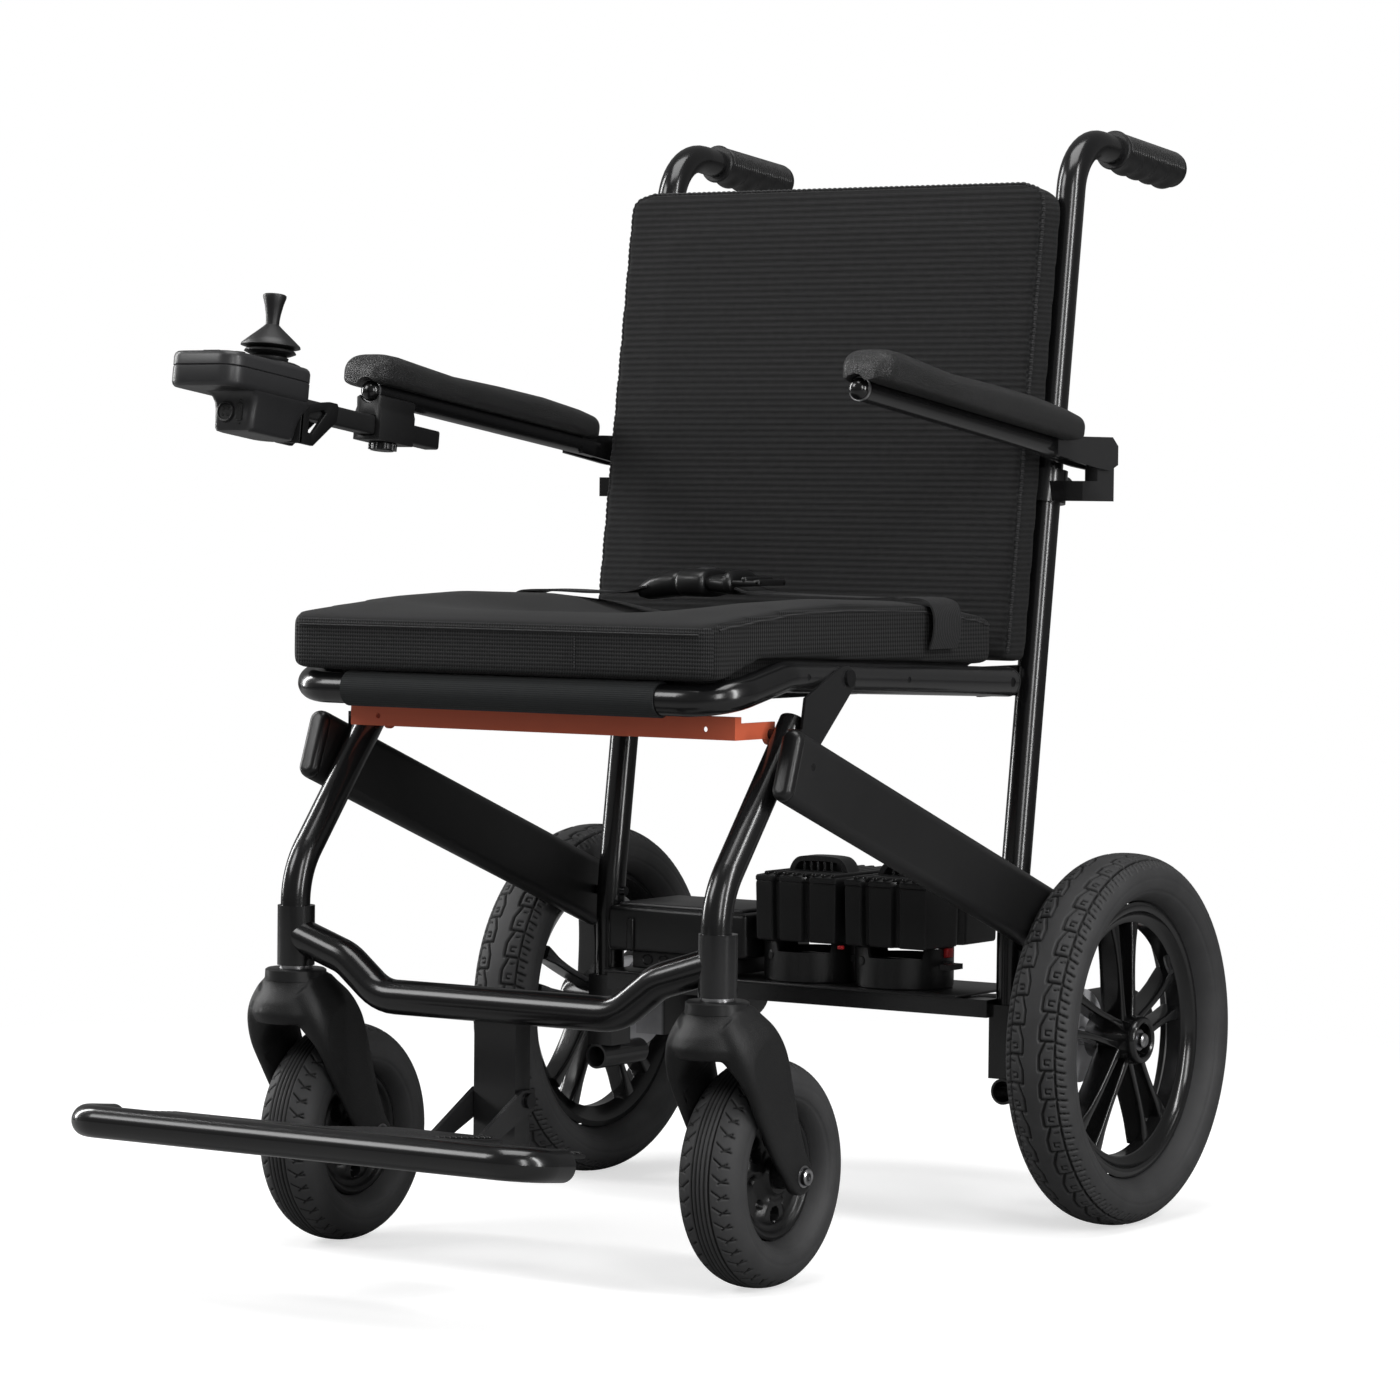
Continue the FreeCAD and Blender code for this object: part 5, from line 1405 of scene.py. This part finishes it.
def charging_port():
    """A round socket with four pins on the front of the block."""
    x, y, z = -252, -262, -14
    centre = stick_point(x, y, z)
    parts = [lathe("rim", [(-0.5, 8.4), (1.4, 8.4), (1.7, 7.6), (1.5, 6.8), (0.3, 6.6),
                           (0.3, 0.01)], centre, STICK_FRONT, look["plastic"], 48, 30),
             lathe("face", [(0.3, 6.5), (0.9, 6.3), (0.9, 0.01)], centre, STICK_FRONT,
                   look["satin"], 48, 30)]
    for angle in (45, 135, 225, 315):
        pin = stick_point(x + 3.5 * math.cos(math.radians(angle)), y,
                          z + 3.5 * math.sin(math.radians(angle)))
        parts.append(lathe("pin", [(0.8, 1.35), (1.25, 1.25), (1.25, 0.01)], pin,
                           STICK_FRONT, look["wheel"], 16, 30))
    attach(join("charging_port", parts), "joystick_bar")


def data_port():
    """An upright slot cover between two small round heads."""
    x, z = -237.6, -14
    rings = [[stick_point(x + a, -262.2 - depth, z + b)
              for a, b in rounded_rect(-2.6, 2.6, -7, 7, 1.2, 1.2, inset, 5)]
             for depth, inset in ((0, 0), (0.8, 0), (1.1, 0.4))]
    parts = [loft("cover", rings, look["wheel"], 30)]
    for height in (-9.2, 9.2):
        parts.append(lathe("head", [(0, 1.1), (0.8, 1.0), (0.8, 0.01)],
                           stick_point(x, -262, z + height), STICK_FRONT,
                           look["wheel"], 16, 30))
    attach(join("data_port", parts), "joystick_bar")


stick_foot = stick_point(-255.0, -208, 0)
stick = lathe("stick_boot_knob", STICK_PROFILE, stick_foot, STICK_UP, look["rubber"], 72)
attach(stick, "joystick", "joystick")
joystick_case()
joystick_arm()
joystick_saddle()
charging_port()
data_port()
collar = lathe("boot_collar", COLLAR_PROFILE, stick_foot, STICK_UP, look["rubber"], 72,
               closed=True)
attach(collar, "joystick_bar")


# ------------------------------------------------------------------ side links
def side_link(side):
    """A flat oval bar sloping down to the rear, with plastic end caps and a small dot."""
    link_x = 229.35
    front, rear = Vector((0, -452.0, 401.0)), Vector((0, -71.0, 263.5))
    direction = (rear - front).normalized()
    up = Vector((1, 0, 0)).cross(direction)
    if up.z < 0:
        up = -up
    end = (rear - front).length + 22

    def section(along, inset):
        half_thick, half_height = 9.15 - inset, 29.0 - inset
        radius = max(half_thick * 0.98, 0.3)
        x, z = half_thick - radius, half_height - radius
        outline = (corner_arc(x, z, radius, 0) + corner_arc(-x, z, radius, 90)
                   + corner_arc(-x, -z, radius, 180) + corner_arc(x, -z, radius, 270))
        return [point(side * (link_x + a), *(front + direction * along + up * b)[1:])
                for a, b in outline]

    # (distance along, inset) of the bar, the front cap and the rear cap
    bar = [(-17.0, 2.5), (-17.0, 0.35), (-16.4, 0.0), (end - 8.6, 0.0), (end - 8.0, 0.35),
           (end - 8.0, 2.5)]
    front_cap = [(-25.0, 6.5), (-24.8, 4.0), (-23.6, 1.9), (-21.0, 0.6), (-18.2, 0.1),
                 (-17.3, 0.4), (-17.3, 2.5)]
    rear_cap = [(end - 7.7, 2.5), (end - 7.7, 0.4), (end - 6.8, 0.1), (end - 4.0, 0.6),
                (end - 1.4, 1.9), (end - 0.2, 4.0), (end, 6.5)]
    parts = [loft("link", [section(*station) for station in stations], look[key], angle)
             for stations, key, angle in ((bar, "satin", 40), (front_cap, "plastic", 50),
                                          (rear_cap, "plastic", 50))]
    dot = front + direction * 2 + up * 6
    parts.append(lathe("dot", [(9.0, 3.0), (9.35, 2.9), (9.35, 0.01)],
                       point(side * link_x, dot.y, dot.z), (side, 0, 0), look["wheel"], 20, 30))
    return parts


attach(join("side_links_soft", side_link(1) + side_link(-1)), "side_links",
       "side_links")

# ------------------------------------------------------------------ batteries
BATTERY_HALF_WIDTH = 40.4
BATTERY_FRONT, BATTERY_REAR = -101.8, 21.8
BATTERY_BOTTOM, BATTERY_TOP = 232.0, 290.0
# z, scale of the outline
BATTERY_LEVELS = (
    [(BATTERY_BOTTOM + rise, scale) for rise, scale in ((0, 0.95), (1.2, 0.97), (3, 0.975))]
    + [(BATTERY_TOP - drop, scale) for drop, scale in (
        (9, 0.995), (6.5, 0.985), (6.0, 1.0), (3.0, 1.0), (1.6, 0.985), (0.6, 0.90), (0, 0.80))])


def grooved_edge(start, end, normal, grooves, count=60):
    """Points from start towards end, pushed in at each groove (fractions of the length)."""
    points = []
    for i in range(count):
        t = i / count
        push = 0.0
        for groove in grooves:
            push = min(push, -5.0 * max(0.0, min(1.0, (0.052 - abs(t - groove)) / 0.022)))
        points.append((start[0] + (end[0] - start[0]) * t + normal[0] * push,
                       start[1] + (end[1] - start[1]) * t + normal[1] * push))
    return points


def battery(side_name, x):
    """A block with upright grooves, ribs on its top and a carrying handle."""
    plastic = look["plastic"]
    x0, x1, top = x - BATTERY_HALF_WIDTH, x + BATTERY_HALF_WIDTH, BATTERY_TOP
    y0, y1 = BATTERY_FRONT, BATTERY_REAR
    outline = (grooved_edge((x0, y0), (x1, y0), (0, -1), (0.24, 0.62))
               + grooved_edge((x1, y0), (x1, y1), (1, 0), (0.5,))
               + grooved_edge((x1, y1), (x0, y1), (0, 1), (0.30, 0.70))
               + grooved_edge((x0, y1), (x0, y0), (-1, 0), (0.5,)))
    middle_x, middle_y = (x0 + x1) / 2, (y0 + y1) / 2
    rings = [[point(middle_x + (a - middle_x) * scale, middle_y + (b - middle_y) * scale, z)
              for a, b in outline] for z, scale in BATTERY_LEVELS]
    parts = [loft("block", rings, plastic, 30)]
    for i in range(8):
        rib = x0 + 6 + i * 9.6
        parts.append(rounded_box((rib, y0 + 4, top - 1.5), (rib + 4.2, y1 - 4, top + 1.6),
                                 plastic, 1.0))
    handle = [point(a, middle_y - 14, top + rise) for a, rise in (
        (x0 + 12, -1), (x0 + 17, 8), (x0 + 26, 11.5), (x1 - 26, 11.5), (x1 - 17, 8),
        (x1 - 12, -1))]
    parts.append(ribbon("handle", handle, 0.020, 0.0045, plastic, 6))
    for i in range(5):
        rib = x0 + 24 + i * 7.0
        parts.append(rounded_box((rib, middle_y - 23, top - 1),
                                 (rib + 2.0, middle_y - 5, top + 10.5), plastic, 0.7))
    attach(join("battery_case_" + side_name, parts), "battery_" + side_name,
           "battery_" + side_name)


battery("right", 8.0)
battery("left", 98.0)

# radius, z of the dock cup's wall; None is the rim, whose height varies
CUP_WALL = [(38.8, 195.6), (41.0, 195.6), (42.2, 197.2), (42.6, 200.6), (42.6, None),
            (40.0, None), (40.0, 198.6), (38.8, 196.6)]
CUP_Y = -56


def dock_cup(x):
    """A round cup with two lowered stretches of rim and a small disc on its wall."""
    segments = 120
    vertices = []
    for i in range(segments):
        turn = 2 * math.pi * i / segments
        rim = 230.6 if math.cos(2 * turn - 0.6) > -0.35 else 222.5
        for radius, z in CUP_WALL:
            vertices.append(point(x + radius * math.cos(turn), CUP_Y + radius * math.sin(turn),
                                  rim if z is None else z))
    turn = math.radians(270 - 28)
    centre = point(x + 42.2 * math.cos(turn), CUP_Y + 42.2 * math.sin(turn), 219)
    return [make_object("cup", vertices, ring_quads(segments, len(CUP_WALL)),
                        look["plastic"], 30),
            lathe("disc", [(-1, 4.2), (0.7, 4.2), (1.3, 3.4), (1.3, 0.01)], centre,
                  (math.cos(turn), math.sin(turn), 0), look["satin"], 24, 30)]


def battery_cradle():
    low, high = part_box("battery_dock")
    tray = rounded_box((low.x * 1000, -100, 193.2),
                       (high.x * 1000, (high.y - AXLE_Y) * 1000, 195.8), look["plastic"], 1.6)
    attach(join("battery_cradle", [tray] + dock_cup(-1) + dock_cup(91)), "back_frame",
           "battery_dock")


def latch_tabs():
    red = look["red plastic"]
    tabs = [rounded_box((133, -62, 223), (137.6, -52, 231.2), red, 0.8),
            rounded_box((50.5, -101, 228.2), (55.5, -97, 231.2), red, 0.6)]
    attach(join("latch_tabs", tabs), "battery_latch")


def control_box():
    """A box with a grey lid, a rib in front, and a lower block with four round sockets."""
    plastic = look["plastic"]
    parts = [rounded_box((-190, -98, 213), (-44, 10, 252.6), plastic, 4.5, 4),
             rounded_box((-182, -92, 251), (-52, 4, 255.8), look["charcoal"], 2.4, 3),
             rounded_box((-168, -100.6, 214.5), (-161, -95, 243), plastic, 1.6, 3),
             rounded_box((-166, -93, 198.4), (-56, 2, 214), plastic, 1.5)]
    for i in range(4):
        parts.append(lathe("socket", [(-1, 5.0), (1.2, 5.0), (1.6, 4.3), (0.6, 3.6), (0.6, 0.01)],
                           point(-150 + i * 17, -93, 206.4), (0, -1, 0), look["satin"], 24, 30))
    attach(join("control_box", parts), "back_frame", "controller_box")


battery_cradle()
latch_tabs()
control_box()


# ------------------------------------------------------------------ belt and buckle
def belt_half(side):
    """Webbing from the buckle across the cushion and down over its side."""
    start = 14 if side > 0 else 74
    path = [(start, -194, 538), (start + 22, -193, 533.5), (130, -192, 531.6),
            (168, -191.5, 532.5), (194, -196, 532.2), (206.5, -198.5, 528.5),
            (212.2, -200, 519), (212.6, -201, 504), (209.2, -201, 492)]
    return ribbon("belt", [point(side * x, y, z) for x, y, z in path], 0.043, 0.0017,
                  look["webbing"])


attach(join("belt_webbing", [belt_half(1), belt_half(-1)]), "seat_frame",
       "belt_straps")

# pods by station: x, z of the middle, half width along y, half height
BUCKLE_PODS = [
    [(-90, 533, 10, 3), (-88, 533.6, 15, 6), (-82, 535, 19, 8.4), (-72, 537.8, 21.5, 10.2),
     (-60, 540, 22.5, 11), (-50, 541, 23, 11.2), (-46, 541, 22.6, 10.8), (-44, 541, 20, 8)],
    [(-46.5, 541.5, 20, 9), (-45, 541.5, 23.2, 11.2), (-42, 541.5, 24.2, 12),
     (-22, 541.5, 24.2, 12), (-19, 541.5, 23.2, 11.2), (-17.5, 541.5, 20, 9)],
    [(-19, 541, 16, 5), (-17, 541, 19, 7), (-12, 541, 20, 7.8), (2, 540, 21.5, 8.0),
     (8, 538.5, 20, 6), (12, 537, 16, 3.4)],
    [(1, 542, 20, 6), (2.5, 542.5, 23.5, 9.8), (6, 542.5, 24.4, 10.6), (9, 541.5, 23.5, 9.0),
     (10.5, 541, 20, 6)],
]
PRESS_KEY = [(-37, 549.5, 6, 2.0), (-35.5, 549.5, 9, 4.0), (-30, 549.5, 10.5, 5.2),
             (-24, 549.5, 10.5, 5.2), (-21.5, 549.5, 9, 4.0), (-20, 549.5, 6, 2.0)]
# low corner, high corner, edge radius of the open frame's four bars
BUCKLE_BARS = [((10, -213, 540), (38, -207, 544.5), 1.5),
               ((10, -176, 540), (38, -170, 544.5), 1.5),
               ((20, -213, 541.5), (25, -170, 547.5), 1.6),
               ((33, -213, 540), (38, -170, 545.5), 1.6)]


def pod(name, stations, material):
    """A rounded body along X."""
    turns = np.linspace(0, 2 * math.pi, 33)[:-1]
    rings = [[point(x, -191.5 + signed_power(math.cos(turn), 0.7) * half_width,
                    z + signed_power(math.sin(turn), 0.75) * half_height) for turn in turns]
             for x, z, half_width, half_height in stations]
    return loft(name, rings, material, 50)


parts = [pod("pod", stations, look["plastic"]) for stations in BUCKLE_PODS]
parts += [rounded_box(low, high, look["plastic"], radius, 3) for low, high, radius in BUCKLE_BARS]
attach(join("buckle_body", parts), "seat_frame", "belt_buckle")
attach(pod("buckle_press_key", PRESS_KEY, look["charcoal"]), "buckle_button",
       "buckle_button")

# ------------------------------------------------------------------ footplate tread
FOOT_PIVOT = Vector((0, -742, 130.25))
FOOT_TILT = Matrix.Rotation(math.radians(-6.3), 3, "X")
TREAD_PITCH = 7.5


def foot_box(low, high, radius):
    return rounded_box(low, high, look["plastic"], radius, place=lambda corner: point(
        *(FOOT_PIVOT + FOOT_TILT @ (corner - FOOT_PIVOT))))


def footplate_tread():
    """A wide front panel and a narrow one behind it, both with ribs that run along X."""
    parts = [foot_box((-196, -778, 130.3), (196, -692, 133.2), 1.0),
             foot_box((-52, -700, 130.3), (52, -594, 133.2), 1.0)]
    for half_width, start, end in ((193, -772, -696), (49, -690, -600)):
        for y in np.arange(start, end, TREAD_PITCH):
            parts.append(foot_box((-half_width, y, 132.6), (half_width, y + 4.2, 135.1), 0.9))
    attach(join("footplate_tread", parts), "footplate", "footplate_panel")


footplate_tread()


# ------------------------------------------------------------------ floor
def studio_white():
    """To the camera, a lit floor that fades to white; to other rays, a dull grey."""
    shader = Shader("studio_white")
    mottle = shader.remap(shader.noise(0.7, detail=2.0), 0.3, 0.7)
    shader.set(Base_Color=shader.mix(mottle, (0.60, 0.60, 0.60), (0.62, 0.62, 0.62)),
               Roughness=0.95, Specular_IOR_Level=0.0)
    camera_ray = shader.node("ShaderNodeLightPath").outputs["Is Camera Ray"]
    grey = shader.node("ShaderNodeBsdfDiffuse", Color=(0.30, 0.30, 0.30, 1))
    glow = shader.node("ShaderNodeEmission", Color=(1, 1, 1, 1), Strength=0.62)
    lit = shader.join_shaders("ShaderNodeAddShader", shader.surface.outputs[0], glow.outputs[0])
    seen = shader.join_shaders("ShaderNodeMixShader", camera_ray, grey.outputs[0], lit)
    length = shader.node("ShaderNodeVectorMath", operation="LENGTH")
    shader.feed(length.inputs[0], shader.coords)
    far = shader.remap(length.outputs["Value"], 0.75, 1.7)
    white = shader.node("ShaderNodeEmission", Color=(1, 1, 1, 1))
    faded = shader.join_shaders("ShaderNodeMixShader", shader.math("MULTIPLY", far, camera_ray),
                                seen, white.outputs[0])
    shader.feed(shader.output.inputs[0], faded)
    return shader.material


FLOOR_REACH = 30        # metres
floor_mesh = bpy.data.meshes.new("floor")
floor_mesh.from_pydata([(x * FLOOR_REACH, y * FLOOR_REACH, 0)
                        for x, y in ((-1, -1), (1, -1), (1, 1), (-1, 1))], [], [(0, 1, 2, 3)])
link_mesh("floor", floor_mesh, studio_white())


# ------------------------------------------------------------------ world, lights and camera
def studio_world():
    """Grey light on the chair, white behind it for the camera."""
    world = bpy.data.worlds.new("studio")
    bpy.context.scene.world = world
    world.use_nodes = True
    tree = world.node_tree
    ambient = tree.nodes["Background"]
    backdrop = tree.nodes.new("ShaderNodeBackground")
    for background, grey, strength in ((ambient, 0.5, 0.34), (backdrop, 1, 1.0)):
        background.inputs[0].default_value = (grey, grey, grey, 1)
        background.inputs[1].default_value = strength
    light_path = tree.nodes.new("ShaderNodeLightPath")
    mixer = tree.nodes.new("ShaderNodeMixShader")
    tree.links.new(light_path.outputs["Is Camera Ray"], mixer.inputs[0])
    tree.links.new(ambient.outputs[0], mixer.inputs[1])
    tree.links.new(backdrop.outputs[0], mixer.inputs[2])
    tree.links.new(mixer.outputs[0], tree.nodes["World Output"].inputs[0])


def area_light(name, location, width, height, power, target=(0, 0, 0.5)):
    """A rectangular light aimed at a target; metres and watts."""
    light = bpy.data.lights.new(name, "AREA")
    light.shape = "RECTANGLE"
    light.size = width
    light.size_y = height
    light.energy = power
    obj = bpy.data.objects.new(name, light)
    bpy.context.scene.collection.objects.link(obj)
    obj.location = location
    direction = Vector(target) - Vector(location)
    obj.rotation_euler = direction.to_track_quat("-Z", "Y").to_euler()


def add_camera(azimuth, elevation, roll, location, lens):
    """A camera looking back along the direction given by angles in degrees."""
    camera = bpy.data.cameras.new("camera")
    obj = bpy.data.objects.new("camera", camera)
    bpy.context.scene.collection.objects.link(obj)
    azimuth, elevation, roll = (math.radians(angle) for angle in (azimuth, elevation, roll))
    backward = Vector((math.sin(azimuth) * math.cos(elevation),
                       -math.cos(azimuth) * math.cos(elevation), math.sin(elevation)))
    level = Vector((math.cos(azimuth), math.sin(azimuth), 0))
    upright = backward.cross(level)
    right = level * math.cos(roll) + upright * math.sin(roll)
    up = -level * math.sin(roll) + upright * math.cos(roll)
    pose = Matrix((right, up, backward)).transposed().to_4x4()
    pose.translation = location
    obj.matrix_world = pose
    camera.sensor_width = 36
    camera.lens = lens
    camera.clip_start = 0.1
    camera.clip_end = 100
    bpy.context.scene.camera = obj


studio_world()
area_light("key", (-2.2, -2.6, 2.6), width=1.4, height=1.4, power=42)
area_light("strip_right", (2.6, -0.4, 1.5), width=0.30, height=2.4, power=42)
area_light("strip_left", (-2.6, -0.2, 1.4), width=0.35, height=2.2, power=45)
area_light("top", (0.2, -0.3, 3.0), width=1.8, height=1.8, power=45)
area_light("front", (2.7, -2.2, 1.6), width=0.6, height=1.8, power=28, target=(0, -0.1, 0.4))
add_camera(azimuth=33.0319, elevation=2.3643, roll=0.6252,
           location=point(2177.306, -3591.791, 609.325), lens=123.01)
bpy.context.scene.view_settings.view_transform = "Standard"
